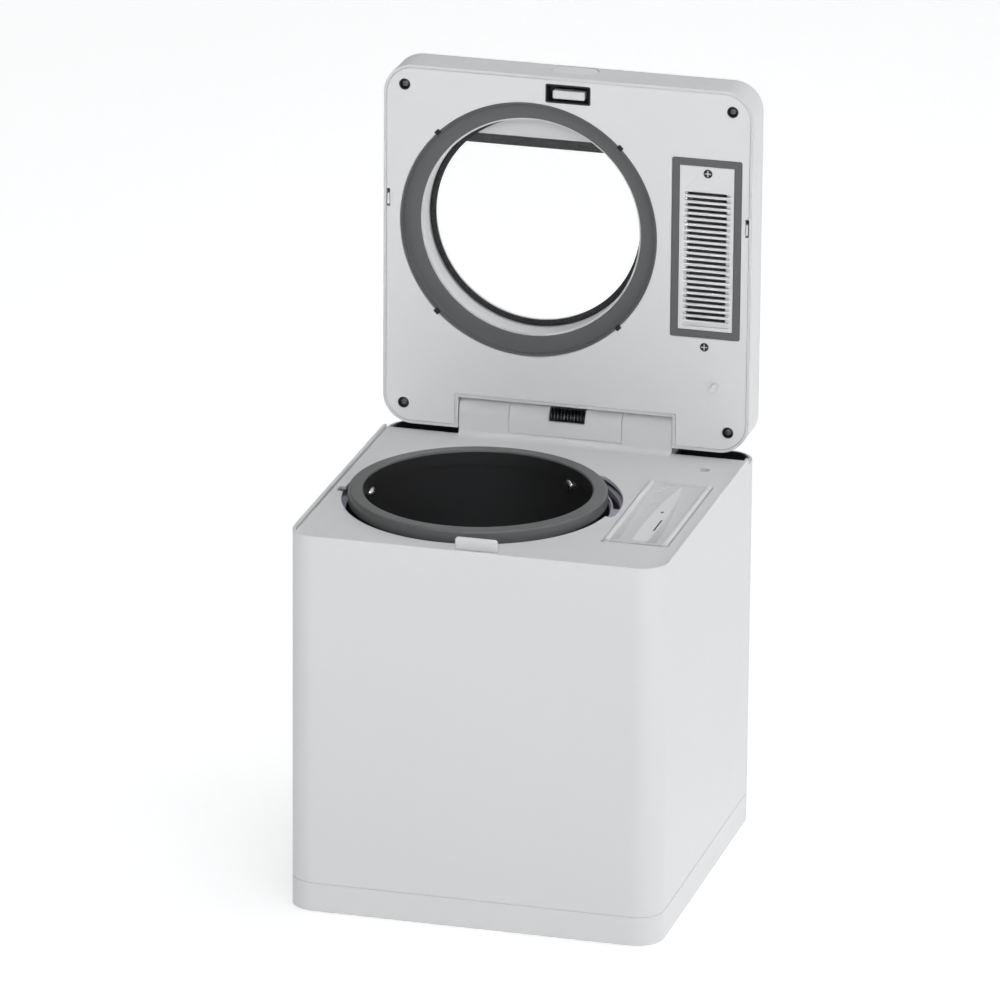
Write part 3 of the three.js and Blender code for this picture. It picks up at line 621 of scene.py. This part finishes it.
block_half = 87.4 * mm
collar_in = 90 * mm
mouth = 106.5 * mm
lobe = 113.3 * mm
through = (0.3, 0.32)
filter_low, filter_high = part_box("filter_frame")
pin_low, pin_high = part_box("lid_pin")
pin_x = (pin_low.x + pin_high.x) / 2
pin_reach = hinge.z - (pin_low.z + pin_high.z) / 2

inside = low.x + wall + 0.9 * mm
deck_reach = 150 * mm
deck = slab("deck_plate", (inside, -deck_reach, deck_under), (-inside, deck_reach, deck_top),
            corner - 3 * mm, steps=16)
carve(deck, slab("behind", (-far, deck_rear, 0.2), (far, far, far)))
slot = 0.8 * mm
carve(
    deck,
    rod("mouth", drum_at, mouth, *through, sides=160),
    sector("lobe", collar_in, lobe, -7, 46, *through),
    sector("notch", collar_in, lobe - 1.8 * mm, 181, 187, *through, mm),
    slab("filter_slot", (filter_low.x - slot, filter_low.y - slot, through[0]),
         (filter_high.x + slot, filter_high.y + slot, through[1]), 2.5 * mm, steps=5),
    slab("corner_notch", (filter_low.x - 2.4 * mm, filter_low.y - 2 * mm, through[0]),
         (filter_low.x + mm, filter_low.y + 0.6 * mm, through[1]), 0.6 * mm, steps=3),
    rod("pin_hole", (pin_x, hinge.y + pin_reach, 0), 4 * mm, *through, sides=40),
)
soften(deck, 0.35 * mm, 2, 50)
fit(deck, pale_plastic, "body", "pale_shell", "top_deck")

cover_half = 46 * mm
cover_split = 316.4 * mm
front = hinge.y - 13.5 * mm
run, rise = 7.5 * mm, 3.8 * mm
foot_curve = [(front - run + run * math.sin(a), deck_top + rise - rise * math.cos(a), 0)
              for a in (math.radians(9 * i) for i in range(11))]
block = across("hinge_block", [
    *foot_curve, *reversed(block_outline(0, deck_under, deck_under)[:-1]), (front - run, deck_under, 0),
], -block_half, block_half)
open_below = deck_under - 5 * mm
carve(
    block,
    across("room", block_outline(wall, open_below, open_below), wall - block_half, block_half - wall),
    slab("cover_front", (-cover_half - gap, 0.09, cover_split), (cover_half + gap, far, far)),
    slab("cover_rear", (-cover_half - gap, hinge.y, 0.3), (cover_half + gap, far, far)),
    rod("shaft_bore", hinge, 3.2 * mm, -0.1, 0.1, 0, 48),
)
soften(block, 0.3 * mm, 2, 50)
fit(block, pale_plastic, "body", "pale_shell")


def outer_rear(at):
    """Only a trough's corner under the body's own rear corner is rounded."""
    return at.y > 0.14 and abs(at.x) > 0.12


trough_wall = 1.6 * mm
# The troughs are black where the deck moulding is pale: painted shade for the dark gap behind the deck.
for name, side in (("left", -1), ("right", 1)):
    start, end = sorted([side * (block_half - mm), side * (-inside - mm)])
    trough = slab(f"ear_trough_{name}", (start, deck_rear - 2 * mm, 296 * mm),
                  (end, 149.6 * mm, deck_under - 0.1 * mm), 14 * mm, steps=10, where=outer_rear)
    carve(trough, slab("room", (start + trough_wall, deck_rear, 298 * mm), (end - trough_wall, 148 * mm, far),
                       13 * mm, steps=10, where=outer_rear))
    soften(trough, 0.25 * mm, 1, 50)
    fit(trough, black_plastic, "body", "black_plastic")

# ---- hinge cover -------------------------------------------------------------
# A separate moulding over the middle of the hinge block, with a window cut in it
# where the spring shows.
cover = across("hinge_block_cover", block_outline(0, cover_split + gap, deck_top), -cover_half, cover_half)
cover_room = block_outline(wall, cover_split - 5 * mm, deck_top - 5 * mm)
carve(
    cover,
    across("room", cover_room, -cover_half - mm, cover_half + mm),
    slab("spring_window", (-13.6 * mm, 0.1, hinge.z), (16 * mm, hinge.y - 2.5 * mm, far), 1.2 * mm, 1, 3),
)
soften(cover, 0.3 * mm, 2, 50)
fit(cover, pale_plastic, "body", "pale_shell", "hinge_cover")

# ---- striker tab -------------------------------------------------------------
# An upright moulded tab at the front edge of the deck, on a foot screwed from
# below. The lid's latch reaches over it.
white_plastic = moulded("white_plastic", (0.79, 0.795, 0.80), 0.34, 0.06)
low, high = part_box("striker_tab")
striker = slab("striker_plate", (low.x, low.y, low.z), (high.x, low.y + 2.5 * mm, high.z), 2.6 * mm, 1, 8,
               where=lambda at: at.z > deck_top + 5 * mm)
toe_half, toe_top = 11 * mm, deck_top + 2.3 * mm
carve(striker, slab("toe", (-toe_half, low.y + mm, low.z), (toe_half, high.y, toe_top)), how="UNION")
soften(striker, 0.55 * mm, 3, 50)
fit(striker, white_plastic, "body", "white_plastic", "striker_tab")

# ---- hinge shaft, spring and damper --------------------------------------------
# A steel rod fixed in the lid turns in the block. A coil of blued wire on it lifts
# the lid; a small damper slows it.
spring_steel = metal("spring_steel", (0.10, 0.105, 0.115), 0.3)
low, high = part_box("hinge_shaft")
shaft = turned("hinge_rod", [
    (0, low.x, 0), (3 * mm, low.x, 0.5 * mm), (3 * mm, high.x, 0.5 * mm), (0, high.x, 0),
], hinge, 0, 40)
smooth(shaft)
fit(shaft, bright_steel, "lid", "bright_steel", "hinge_shaft")

low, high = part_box("torsion_spring")
wire = 0.95 * mm
coils = 11
coil_pitch = 2.7 * mm
coil_top = (0, 0, 6.4 * mm)
bpy.ops.object.select_all(action="DESELECT")
bpy.ops.mesh.primitive_circle_add(vertices=12, radius=wire, fill_type="NGON", location=coil_top)
spring = bpy.context.object
spring.name = spring.data.name = "lid_spring"
bpy.ops.object.transform_apply()
open_mesh(spring)
bpy.ops.mesh.select_all(action="SELECT")
bpy.ops.transform.rotate(value=math.pi / 2, orient_axis="X", center_override=coil_top)
close_mesh()
applied(spring, "SCREW", axis="X", angle=2 * math.pi, screw_offset=coil_pitch, iterations=coils,
        steps=28, render_steps=28, use_normal_calculate=True)
open_mesh(spring)
bpy.ops.mesh.select_all(action="SELECT")
bpy.ops.transform.translate(value=(low.x + wire, hinge.y, hinge.z))
bpy.ops.mesh.remove_doubles(threshold=0.005 * mm)
bpy.ops.mesh.normals_make_consistent(inside=False)
close_mesh()
smooth(spring, 60)
fit(spring, spring_steel, "body", "spring_steel", "torsion_spring")


def coat(material, *nodes):
    """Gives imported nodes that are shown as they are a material."""
    for node in nodes:
        mesh = frame["nodes"][node].data
        mesh.materials.clear()
        mesh.materials.append(material)


coat(black_plastic, "hinge_damper")

# ---- lint filter -------------------------------------------------------------
# A lift-out moulding with two rounded rails, a scoop that falls towards the front and
# a leaf-shaped grip standing in it. A net cassette is welded on below.
low, high = filter_low, filter_high
rail = 4.6 * mm
inset = 0.25 * mm
lint = slab("lint_frame", (low.x + inset, low.y + inset, 297 * mm),
            (high.x - inset, high.y - inset, 312.3 * mm), 2.2 * mm, steps=5)
for name, x in (("left", low.x), ("right", high.x - rail)):
    bar = slab(f"lint_rail_{name}", (x, low.y, 299.6 * mm), (x + rail, high.y, high.z), 2 * mm, 1, 6,
               lambda at: at.z > 0.31)
    soften(bar, 0.5 * mm, 2, 50)
    fit(bar, white_plastic, "filter", "white_plastic")
scoop_outline = [(-89.8, 300.5), (-42.8, 304.5), (29, 310.3), (48.2, 311.9), (48.2, 330), (-89.8, 330)]
scoop = [(y * mm, z * mm, 0) for y, z in scoop_outline]
carve(
    lint,
    across("scoop", scoop, low.x + rail - 0.6 * mm, high.x - rail + 0.6 * mm),
    slab("under", (low.x + 3 * mm, low.y + 3 * mm, 0.29), (high.x - 3 * mm, high.y - 3 * mm, 299 * mm)),
)
smooth(lint)
# The frame and its ribs take a darker copy of the white plastic as painted shade in the scoop. The rails and
# grip keep the white.
scoop_painted_shade = moulded("scoop_painted_shade", (0.66, 0.665, 0.67), 0.4)
fit(lint, scoop_painted_shade, "filter", "white_plastic", "filter_frame")

grip_x = (low.x + high.x) / 2 + 1.6 * mm
rib_pitch = 4.7 * mm
rib_fall = 0.41 * mm
ribs = slab("lint_ribs", (low.x + 8.5 * mm, 42.4 * mm, 309 * mm),
            (grip_x - 1.5 * mm, 45 * mm, 312.1 * mm))
soften(ribs, 0.8 * mm, 3, 50)
applied(ribs, "ARRAY", count=19, use_relative_offset=False, use_constant_offset=True,
        constant_offset_displace=(0, -rib_pitch, -rib_fall))
fit(ribs, scoop_painted_shade, "filter", "white_plastic")

grip_foot, grip_top = 299.3 * mm, 313.1 * mm
leaf = []
for start, control, end in (
    ((-5.4, 3.4), (-8.6, 62), (0.4, 133)),
    ((2.2, 133), (10.5, 62), (6.6, 3.4)),
):
    for i in range(13):
        t = i / 12
        x, y = (a * (1 - t) ** 2 + 2 * b * t * (1 - t) + c * t * t
                for a, b, c in zip(start, control, end))
        leaf.append(Vector((grip_x + x * mm, low.y + y * mm, grip_foot)))
grip = pushed("lint_grip", leaf, (0, 0, grip_top - grip_foot))
carve(
    grip,
    slab("dimple", (114.6 * mm, -22.6 * mm, 311 * mm), (116.8 * mm, -18.4 * mm, 0.32), mm, steps=5),
    slab("slit", (119.2 * mm, -64 * mm, 306 * mm), (120.6 * mm, -38 * mm, 0.32), 0.5 * mm, steps=3),
)
soften(grip, 0.7 * mm, 3, 45)
fit(grip, white_plastic, "filter", "white_plastic", "filter_grip")
# Black blocks set just under the grip's top, in its dimple and slit, are painted shade.
for name, start, end in (
    ("grip_dimple_shade", (114.5, -22.7, 309), (116.9, -18.3, 312.8)),
    ("grip_slit_shade", (119.1, -64.1, 305), (120.7, -37.9, 312.8)),
):
    shade_block = slab(name, Vector(start) * mm, Vector(end) * mm)
    fit(shade_block, black_plastic, "filter", "black_plastic")


def net(name, color, count):
    """Woven net: threads both ways with clear squares between them."""
    paint = Paint(name)
    sockets = {"Vector": paint.place, "Scale": count}
    waves = [paint.node("ShaderNodeTexWave", {"bands_direction": way}, sockets, "Fac") for way in "XYZ"]
    threads = waves[0].math("MAXIMUM", waves[0], waves[1])
    threads = threads.math("MAXIMUM", threads, waves[2])
    pale = tuple(1.6 * c for c in color)
    return paint.shader({
        "Base Color": paint.tint(threads, color, pale),
        "Roughness": 0.6 + 0.2 * threads,
        "Alpha": threads.math("GREATER_THAN", threads, 0.75),
    })


filter_net = net("filter_net", (0.35, 0.36, 0.37), 420)
cassette_grey = moulded("cassette_grey", (0.42, 0.43, 0.44), 0.5)
cassette = refined("filter_mesh", "net_cassette")
soften(cassette, 0.25 * mm, 2, 50)
fit(cassette, cassette_grey, "filter", "filter_net", "filter_mesh")
low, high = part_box("filter_mesh")
hem = 6 * mm
sheet = slab("net_sheet", (low.x + hem, low.y + hem, low.z + 2.1 * mm),
             (high.x - hem, high.y - hem, low.z + 2.4 * mm))
fit(sheet, filter_net, "filter", "filter_net")

# ---- drum --------------------------------------------------------------------
# A drawn steel bowl on a vertical shaft, dark inside, its lip folded up inside the
# collar. The grey collar is riveted round its mouth, and three moulded fins lift the
# clothes.
drum_steel = metal("drum_steel", (0.062, 0.063, 0.065), 0.42, (1, 1, 8), 0.6)
bowl_in, bowl_out, bowl_top = 91.5 * mm, 93 * mm, 309 * mm
bowl = turned("drum_bowl", [
    (6.1 * mm, 86 * mm, 0), (bowl_out, 86 * mm, 8 * mm), (bowl_out, bowl_top, 0), (bowl_in, bowl_top, 0),
    (bowl_in, 87.5 * mm, 6.5 * mm), (6.1 * mm, 87.5 * mm, 0),
], drum_at, steps=144, ring=True)
smooth(bowl)
fit(bowl, drum_steel, "drum", "drum_steel", "drum")

ring_grey = moulded("ring_grey", (0.120, 0.126, 0.125), 0.34, 0.1)
collar_out = 101.4 * mm
collar = turned("drum_collar", [
    (collar_in, ring_low.z, 0.3 * mm), (collar_out, ring_low.z, 0.9 * mm),
    (collar_out, ring_high.z, 2.2 * mm), (collar_in, ring_high.z, 1.2 * mm),
], drum_at, steps=144, ring=True)
smooth(collar, 60)
fit(collar, ring_grey, "drum", "ring_grey", "drum_ring")
lip_in, lip_out, lip_foot, lip_top = 89.6 * mm, 90.05 * mm, 308 * mm, 318.6 * mm
lip = turned("drum_lip", [
    (lip_in, lip_foot, 0), (lip_out, lip_foot, 0), (lip_out, lip_top, 0), (lip_in, lip_top, 0),
], drum_at, steps=144, ring=True)
smooth(lip)
fit(lip, drum_steel, "drum", "drum_steel")


def swung(obj, name, degrees, centre, axis):
    """A copy with a mesh of its own, turned in the mesh about an axis through the centre."""
    twin = copied(obj, name, (0, 0, 0))
    open_mesh(twin)
    bpy.ops.mesh.select_all(action="SELECT")
    bpy.ops.transform.rotate(value=-math.radians(degrees), orient_axis=axis, center_override=centre)
    close_mesh()
    return twin


rivet_angle = 172.8
wall_x = drum_at.x + 91.2 * mm
dome_x = wall_x - 3.4 * mm
rivet_at = Vector((wall_x, drum_at.y, 303 * mm))
rivet = turned("rivet", [
    (0, wall_x, 0), (5.5 * mm, wall_x, 0), (5.3 * mm, dome_x, 3 * mm), (0, dome_x, 0),
], rivet_at, 0, 32)
smooth(rivet, 60)
fin_low, fin_high = 97 * mm, 246 * mm
outline = [(89.9, -13, 0), (89.9, 13, 0), (80, 7.5, 8), (73.1, 0, 3.4), (80, -7.5, 8)]
points = [drum_at + Vector((x * mm, y * mm, fin_low - drum_at.z)) for x, y in eased(outline, 8)]
fin = pushed("fin", points, (0, 0, fin_high - fin_low))
soften(fin, 2.4 * mm, 5, 50)
for i in range(3):
    place = rivet_angle + 120 * i
    head = swung(rivet, f"collar_rivet_{i + 1}", place, drum_at, "Z")
    fit(head, bright_steel, "drum", "bright_steel", f"drum_rivet_{i + 1}")
    blade = swung(fin, f"drum_fin_{i + 1}", place + 60, drum_at, "Z")
    fit(blade, ring_grey, "drum", "ring_grey", f"lifter_{i + 1}")
bpy.data.objects.remove(rivet)
bpy.data.objects.remove(fin)

# ---- tub ---------------------------------------------------------------------
# A smoke-coloured moulded can that the drum turns in. Its flange shows in the gap round
# the collar, and widens on the right to a port that leads air to the filter.
smoked_plastic = moulded("smoked_plastic", (0.42, 0.40, 0.48), 0.22, 0.05, 0.6)
tub_in, tub_out, flange_out = 103 * mm, 105 * mm, 112.6 * mm
flange_under, flange_top = 300.5 * mm, 303 * mm
can = turned("tub_can", [
    (8 * mm, 76 * mm, 0), (tub_out, 76 * mm, 4 * mm), (tub_out, flange_under, mm),
    (flange_out, flange_under, 0.4 * mm), (flange_out, flange_top, 0.6 * mm), (tub_in, flange_top, 0.6 * mm),
    (tub_in, 78 * mm, 2 * mm), (8 * mm, 78 * mm, 0),
], drum_at, steps=144, ring=True)
carve(can, sector("ear", 104 * mm, 115 * mm, -16, 56, flange_under, 305 * mm), how="UNION")
carve(can, sector("port", 105.6 * mm, 111 * mm, 12, 40, 299 * mm, 307 * mm))
smooth(can)
fit(can, smoked_plastic, "body", "smoked_plastic", "outer_tub")

# ---- drive and air -------------------------------------------------------------
# Inside the body: two motors, belt and pulleys, bearings, fan, heater and boards.
# They are plain pieces in metal, plastic, rubber and laminate.
motor_steel = metal("motor_steel", (0.42, 0.425, 0.43), 0.38)
heater_alloy = metal("heater_alloy", (0.36, 0.31, 0.26), 0.35)
black_rubber = rubber("black_rubber", (0.012, 0.012, 0.013), 0.6)
circuit_board = moulded("circuit_board", (0.02, 0.16, 0.06), 0.35)
coat(motor_steel, "drive_motor", "motor_bracket", "motor_pulley", "blower_motor", "heater_duct")
coat(bright_steel, "drum_shaft", "bearing_housing", "bearing_lower", "bearing_upper")
coat(heater_alloy, "heater")
coat(black_rubber, "belt")
coat(circuit_board, "power_board", "control_board")
coat(black_plastic, "drum_pulley", "door_switch")
coat(white_plastic, "switch_plunger", "impeller")
coat(pale_inside, "blower_housing", "filter_well")

# ---- lid shell ---------------------------------------------------------------
# The lid's outer moulding, open towards the drum. It is cut away round the hinge
# block, and has a round window with a straight top, a panel recess and a button slot.
low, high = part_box("lid_shell")
lid_wall = 2.4 * mm
cut_x, cut_z = 88 * mm, 342.9 * mm
window = Vector((drum_at.x, 0, hinge.z + hinge.y - drum_at.y))
panel_low, panel_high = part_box("control_panel")
button_low, button_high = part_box("release_button")
groove = 0.5 * mm
lid_corner = 24 * mm
lid = slab("lid_outer", low, high, lid_corner, 1, 14)
open_mesh(lid)
choose("EDGE", lambda at, way: at.y > high.y - 0.1 * mm and abs(way.y) < 0.1)
bpy.ops.mesh.bevel(offset=1.8 * mm, segments=4, affect="EDGES")
close_mesh()
room = slab("room", (low.x + lid_wall, 0.1, low.z + lid_wall),
            (high.x - lid_wall, 149.6 * mm, high.z - lid_wall), lid_corner - lid_wall, 1, 14)
carve(room, slab("hinge_walls", (-cut_x - lid_wall, 0, 0), (cut_x + lid_wall, far, cut_z + lid_wall)))
sight = rod("sight", window, 84 * mm, 0.143, 0.16, 1, 144)
carve(sight, slab("straight_top", (-far, 0, 553.8 * mm), (far, far, 1)))
carve(
    lid,
    room,
    slab("hinge_cut", (-cut_x, 0, 0), (cut_x, far, cut_z)),
    sight,
    slab("panel_recess", (panel_low.x - gap, high.y - 1.6 * mm, panel_low.z - gap),
         (panel_high.x + gap, far, panel_high.z + gap), 1.2 * mm, 1, 3),
    slab("button_slot", (button_low.x - groove, button_low.y - groove, 0.6),
         (button_high.x + groove, button_high.y + groove, 0.63), 9.9 * mm, 2, 12),
)
soften(lid, 0.4 * mm, 2, 50)
fit(lid, pale_plastic, "lid", "pale_shell", "lid_shell")

# ---- lid liner ---------------------------------------------------------------
# The lid's inner moulding, screwed into the shell. A round well leads to the window,
# and it has a pocket for the latch and a ledged opening for the air grille.
edge = lid_wall + gap
face = low.y
back_face = face + 2.4 * mm
screws = [(x * 133 * mm, hinge.z + h * mm) for x, h in ((-1, 269.5), (1, 269.5), (1, 5.2), (-1, 5.2))]
latch_low = Vector((-17.3 * mm, face, 594.4 * mm))
latch_high = Vector((17.3 * mm, 130.4 * mm, 607.9 * mm))
grille_low, grille_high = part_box("grille_gasket")


def grown(low, high, amount, y0, y1):
    """The corners of a box grown in X and Z, with its own start and end in Y."""
    return Vector((low.x - amount, y0, low.z - amount)), Vector((high.x + amount, y1, high.z + amount))


liner = slab("lid_inner", (low.x + edge, face, low.z + edge), (high.x - edge, back_face, high.z - edge),
             lid_corner - edge, 1, 14)
carve(
    liner,
    slab("hinge_cut", (-cut_x - edge, 0, 0), (cut_x + edge, far, cut_z + edge)),
    rod("mouth", window, 105.4 * mm, 0.1, 0.13, 1, 144),
)
carve(
    liner,
    slab("latch_pocket", *grown(latch_low, latch_high, 1.2 * mm, face + mm, 131.6 * mm), 2 * mm, 1, 3),
    slab("grille_ledge", *grown(grille_low, grille_high, 2 * mm, face + mm, 122.4 * mm), 2 * mm, 1, 3),
    *(rod("cup", (x, 0, z), 6 * mm, face + mm, 124.6 * mm, 1, 40) for x, z in screws),
    how="UNION",
)
pin = Vector((pin_x, 0, (pin_low.z + pin_high.z) / 2))
carve(
    liner,
    slab("latch_room", *grown(latch_low, latch_high, 0, 0.1, latch_high.y), 1.4 * mm, 1, 4),
    slab("grille_window", *grown(grille_low, grille_high, gap, 0.1, 120.6 * mm), 1.6 * mm, 1, 4),
    slab("vent", *grown(grille_low, grille_high, -12 * mm, 0.1, 0.14)),
    rod("pin_hole", pin, 2.7 * mm, 0.1, 0.13, 1, 32),
    *(rod("recess", (x, 0, z), 4.6 * mm, 0.1, 123.4 * mm, 1, 40) for x, z in screws),
    *(slab("side_notch", (x - 1.7 * mm, 0.1, 496.8 * mm), (x + 1.7 * mm, face + 3 * mm, 511.5 * mm))
      for x in (-146.3 * mm, 146.3 * mm)),
)
soften(liner, 0.35 * mm, 2, 50)
fit(liner, pale_inside, "lid", "pale_inside", "lid_liner")
for name, x in (("left", -145.9 * mm), ("right", 145.9 * mm)):
    tab = slab(f"liner_tab_{name}", (x - 0.9 * mm, face - 0.4 * mm, 498.6 * mm),
               (x + 0.9 * mm, back_face, 507.4 * mm))
    soften(tab, 0.3 * mm, 2, 50)
    fit(tab, pale_inside, "lid", "pale_inside")


def lathe_ring(name, corners):
    """A ring round the window, from corners (radius, depth from the hinge's axis, rounding)."""
    outline = [(r * mm, hinge.y + b * mm, ease * mm) for r, b, ease in corners]
    obj = turned(name, outline, window, 1, 144, ring=True)
    smooth(obj, 50)
    return obj


well = lathe_ring("window_well", [
    (88.4, -5.6, 0.4), (104.9, -5.6, 0.3), (104.9, -14.6, 0.3), (106, -14.6, 0.4),
    (106, -3.6, 1), (90.6, -3.6, 1), (90.6, 12, 0), (88.4, 12, 0),
])
fit(well, pale_inside, "lid", "pale_inside")

# ---- window and door gasket ------------------------------------------------------
# A clear disc held against the shell by a black ring. A grey gasket lines the well and
# meets the drum's collar when the lid is shut; four small clips hold it.
gasket = lathe_ring("door_gasket", [
    (90, -7.6, 0.5), (103.2, -7.6, 1.2), (103.2, -14.4, 0.4),
    (104.6, -14.4, 0.5), (104.6, -5.9, 0.3), (90, -5.9, 0.3),
])
gasket_rubber = rubber("gasket_rubber", (0.128, 0.130, 0.131))
fit(gasket, gasket_rubber, "lid", "grey_rubber", "lid_gasket")

glass_paint = Paint("window_pane")
film = glass_paint.noise(14, 3)
window_pane = glass_paint.shader({
    "Base Color": glass_paint.tint(film, (0.50, 0.52, 0.52), (0.56, 0.57, 0.57)),
    "Roughness": 0.03 + 0.04 * film,
    "Alpha": 0.015 + 0.01 * film,
})
low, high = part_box("window_glass")
pane = turned("window_disc", [
    (0, low.y, 0), (88.6 * mm, low.y, 0.4 * mm), (88.6 * mm, high.y, 0.4 * mm), (0, high.y, 0),
], window, 1, 144)
smooth(pane)
fit(pane, window_pane, "lid", "window_pane", "window_glass")
seal = lathe_ring("window_ring", [(83.6, 15.5, 0.2), (88.6, 15.5, 0.2), (88.6, 16.3, 0.2), (83.6, 16.3, 0.2)])
fit(seal, black_rubber, "lid", "black_rubber", "window_seal")
clip = slab("clip", window + Vector((103 * mm, face - 0.3 * mm, -2.4 * mm)),
            window + Vector((106.8 * mm, face + 2 * mm, 2.4 * mm)))
soften(clip, 0.4 * mm, 2, 50)
for i in range(4):
    fit(swung(clip, f"gasket_clip_{i + 1}", 45 + 90 * i, window, "Y"), black_rubber, "lid", "black_rubber")
bpy.data.objects.remove(clip)

# ---- latch -------------------------------------------------------------------
# A black sleeve lines the pocket at the lid's front edge. A white slider in it is
# moved by a pill-shaped button in the edge itself.
sleeve_ends = (face - 0.15 * mm, latch_high.y + 0.3 * mm)
sleeve = slab("latch_sleeve", *grown(latch_low, latch_high, 0.9 * mm, *sleeve_ends), 1.4 * mm, 1, 4)
carve(sleeve, slab("room", *grown(latch_low, latch_high, -0.2 * mm, 0.1, latch_high.y - 0.2 * mm), mm, 1, 4))
smooth(sleeve)
fit(sleeve, black_plastic, "lid", "black_plastic")
low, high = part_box("latch_slider")
slider = slab("latch_tongue", (-13 * mm, low.y, 596.4 * mm), (13 * mm, low.y + 6 * mm, 603.2 * mm), mm, 1, 4)
soften(slider, 0.5 * mm, 3, 50)
fit(slider, white_plastic, "release", "white_plastic", "latch_slider")
# The key takes the whiter plastic of the slider, not the shell's own pale one, as a painted highlight on it.
button = slab("release_key", button_low + Vector((0, 0, 0.4 * mm)), button_high, 9.4 * mm, 2, 14)
soften(button, 0.7 * mm, 3, 50)
fit(button, white_plastic, "release", "pale_shell", "release_button")

# ---- air grille --------------------------------------------------------------
# A slotted plate in a soft grey frame, over a dark net. One screw at the top holds it,
# on a boss that narrows from the first slot.
frame_ends = (face + 0.1 * mm, 120.3 * mm)
frame_ring = slab("grille_frame", *grown(grille_low, grille_high, 0, *frame_ends), 1.4 * mm, 1, 4)
border = 6.1 * mm
carve(frame_ring, slab("inner", *grown(grille_low, grille_high, gap - border, 0.1, 0.2), 0.6 * mm, 1, 3))
soften(frame_ring, 0.45 * mm, 3, 50)
fit(frame_ring, gasket_rubber, "lid", "grey_rubber", "grille_gasket")
low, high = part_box("grille_plate")
slot_pitch = 4.69 * mm
first_slot = grille_high.z - 27.4 * mm
grille = slab("air_grille", low, high)
slots = slab("slots", (95.2 * mm, 0.1, first_slot - slot_pitch * 0.56),
             (132.4 * mm, 0.13, first_slot), mm, 1, 4)
applied(slots, "ARRAY", count=24, use_relative_offset=False, use_constant_offset=True,
        constant_offset_displace=(0, 0, -slot_pitch))
carve(grille, slots)
soften(grille, 0.3 * mm, 2, 50)
fit(grille, pale_inside, "lid", "pale_inside", "grille_plate")
boss = [(96, 532.2), (131.6, 532.2), (123.4, 543.6), (118.6, 550.6), (109.2, 550.6), (104.4, 543.6)]
boss_points = [Vector((x * mm, low.y - 0.25 * mm, z * mm)) for x, z in boss]
grille_boss = pushed("grille_boss", boss_points, (0, 0.6 * mm, 0))
soften(grille_boss, 0.2 * mm, 2, 50)
fit(grille_boss, pale_inside, "lid", "pale_inside")
dark_net = net("dark_net", (0.02, 0.02, 0.022), 700)
netting = slab("grille_net", *grown(low, high, -7 * mm, 122.6 * mm, 122.9 * mm))
fit(netting, dark_net, "lid", "filter_net")

# ---- screws and pin ----------------------------------------------------------
# Dark cross-head screws hold the liner, each at the bottom of a black cup, with two
# more in the grille and below it. A white pin works the door switch.
black_screw = metal("black_screw", (0.05, 0.051, 0.053), 0.36)
cup_in, cup_out, cup_front, cup_rear = 3.6 * mm, 4.5 * mm, face + 0.1 * mm, face + 4 * mm
for i, (x, z) in enumerate(screws, 1):
    cup = turned(f"screw_cup_{i}", [
        (cup_in, cup_front, 0.2 * mm), (cup_out, cup_front, 0.2 * mm),
        (cup_out, cup_rear, 0), (cup_in, cup_rear, 0),
    ], (x, 0, z), 1, 48, ring=True)
    smooth(cup)
    fit(cup, black_plastic, "lid", "black_plastic")
    head = screw(f"liner_screw_{i}", (x, face + 1.7 * mm, z), 3.5 * mm, 4 * mm)
    fit(head, dark_screw, "lid", "spring_steel", f"lid_screw_{i}")
for i, (x, z) in enumerate([(113.9 * mm, 546.4 * mm), (113 * mm, 403.5 * mm)], 5):
    head = screw(f"liner_screw_{i}", (x, face - 0.7 * mm, z), 4.4 * mm, 3 * mm)
    fit(head, black_screw, "lid", "spring_steel")

low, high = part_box("lid_pin")
stem, flange, flange_y = 2.4 * mm, 4.4 * mm, 121.1 * mm
plug = turned("switch_pin", [
    (0, low.y, 0), (stem, low.y, 0.7 * mm), (stem, flange_y, 0.2 * mm), (flange, flange_y, 0.2 * mm),
    (flange, high.y, 0.2 * mm), (0, high.y, 0),
], pin, 1, 32)
smooth(plug)
fit(plug, white_plastic, "lid", "white_plastic", "lid_pin")

# ---- control panel -----------------------------------------------------------
# A black gloss strip in the lid's outer face, with five touch keys marked by plain
# fine rings.
gloss_black = moulded("gloss_black", (0.008, 0.008, 0.009), 0.12, 0.02, 0.5)
key_ink = moulded("key_ink", (0.5, 0.51, 0.52), 0.4)
low, high = panel_low, panel_high
strip = slab("touch_strip", low, high - Vector((0, 0.1 * mm, 0)), 1.2 * mm, 1, 4)
soften(strip, 0.3 * mm, 2, 50)
fit(strip, gloss_black, "lid", "black_plastic", "control_panel")
key_z = (low.z + high.z) / 2
key_pitch = 42 * mm
key_in, key_out, key_foot = 6.6 * mm, 7.2 * mm, high.y - 0.3 * mm
for i in range(5):
    at = Vector(((i - 2) * key_pitch, 0, key_z))
    key = turned(f"key_ring_{i + 1}", [
        (key_in, key_foot, 0), (key_out, key_foot, 0), (key_out, high.y, 0), (key_in, high.y, 0),
    ], at, 1, 48, ring=True)
    smooth(key)
    fit(key, key_ink, "lid", "black_plastic")
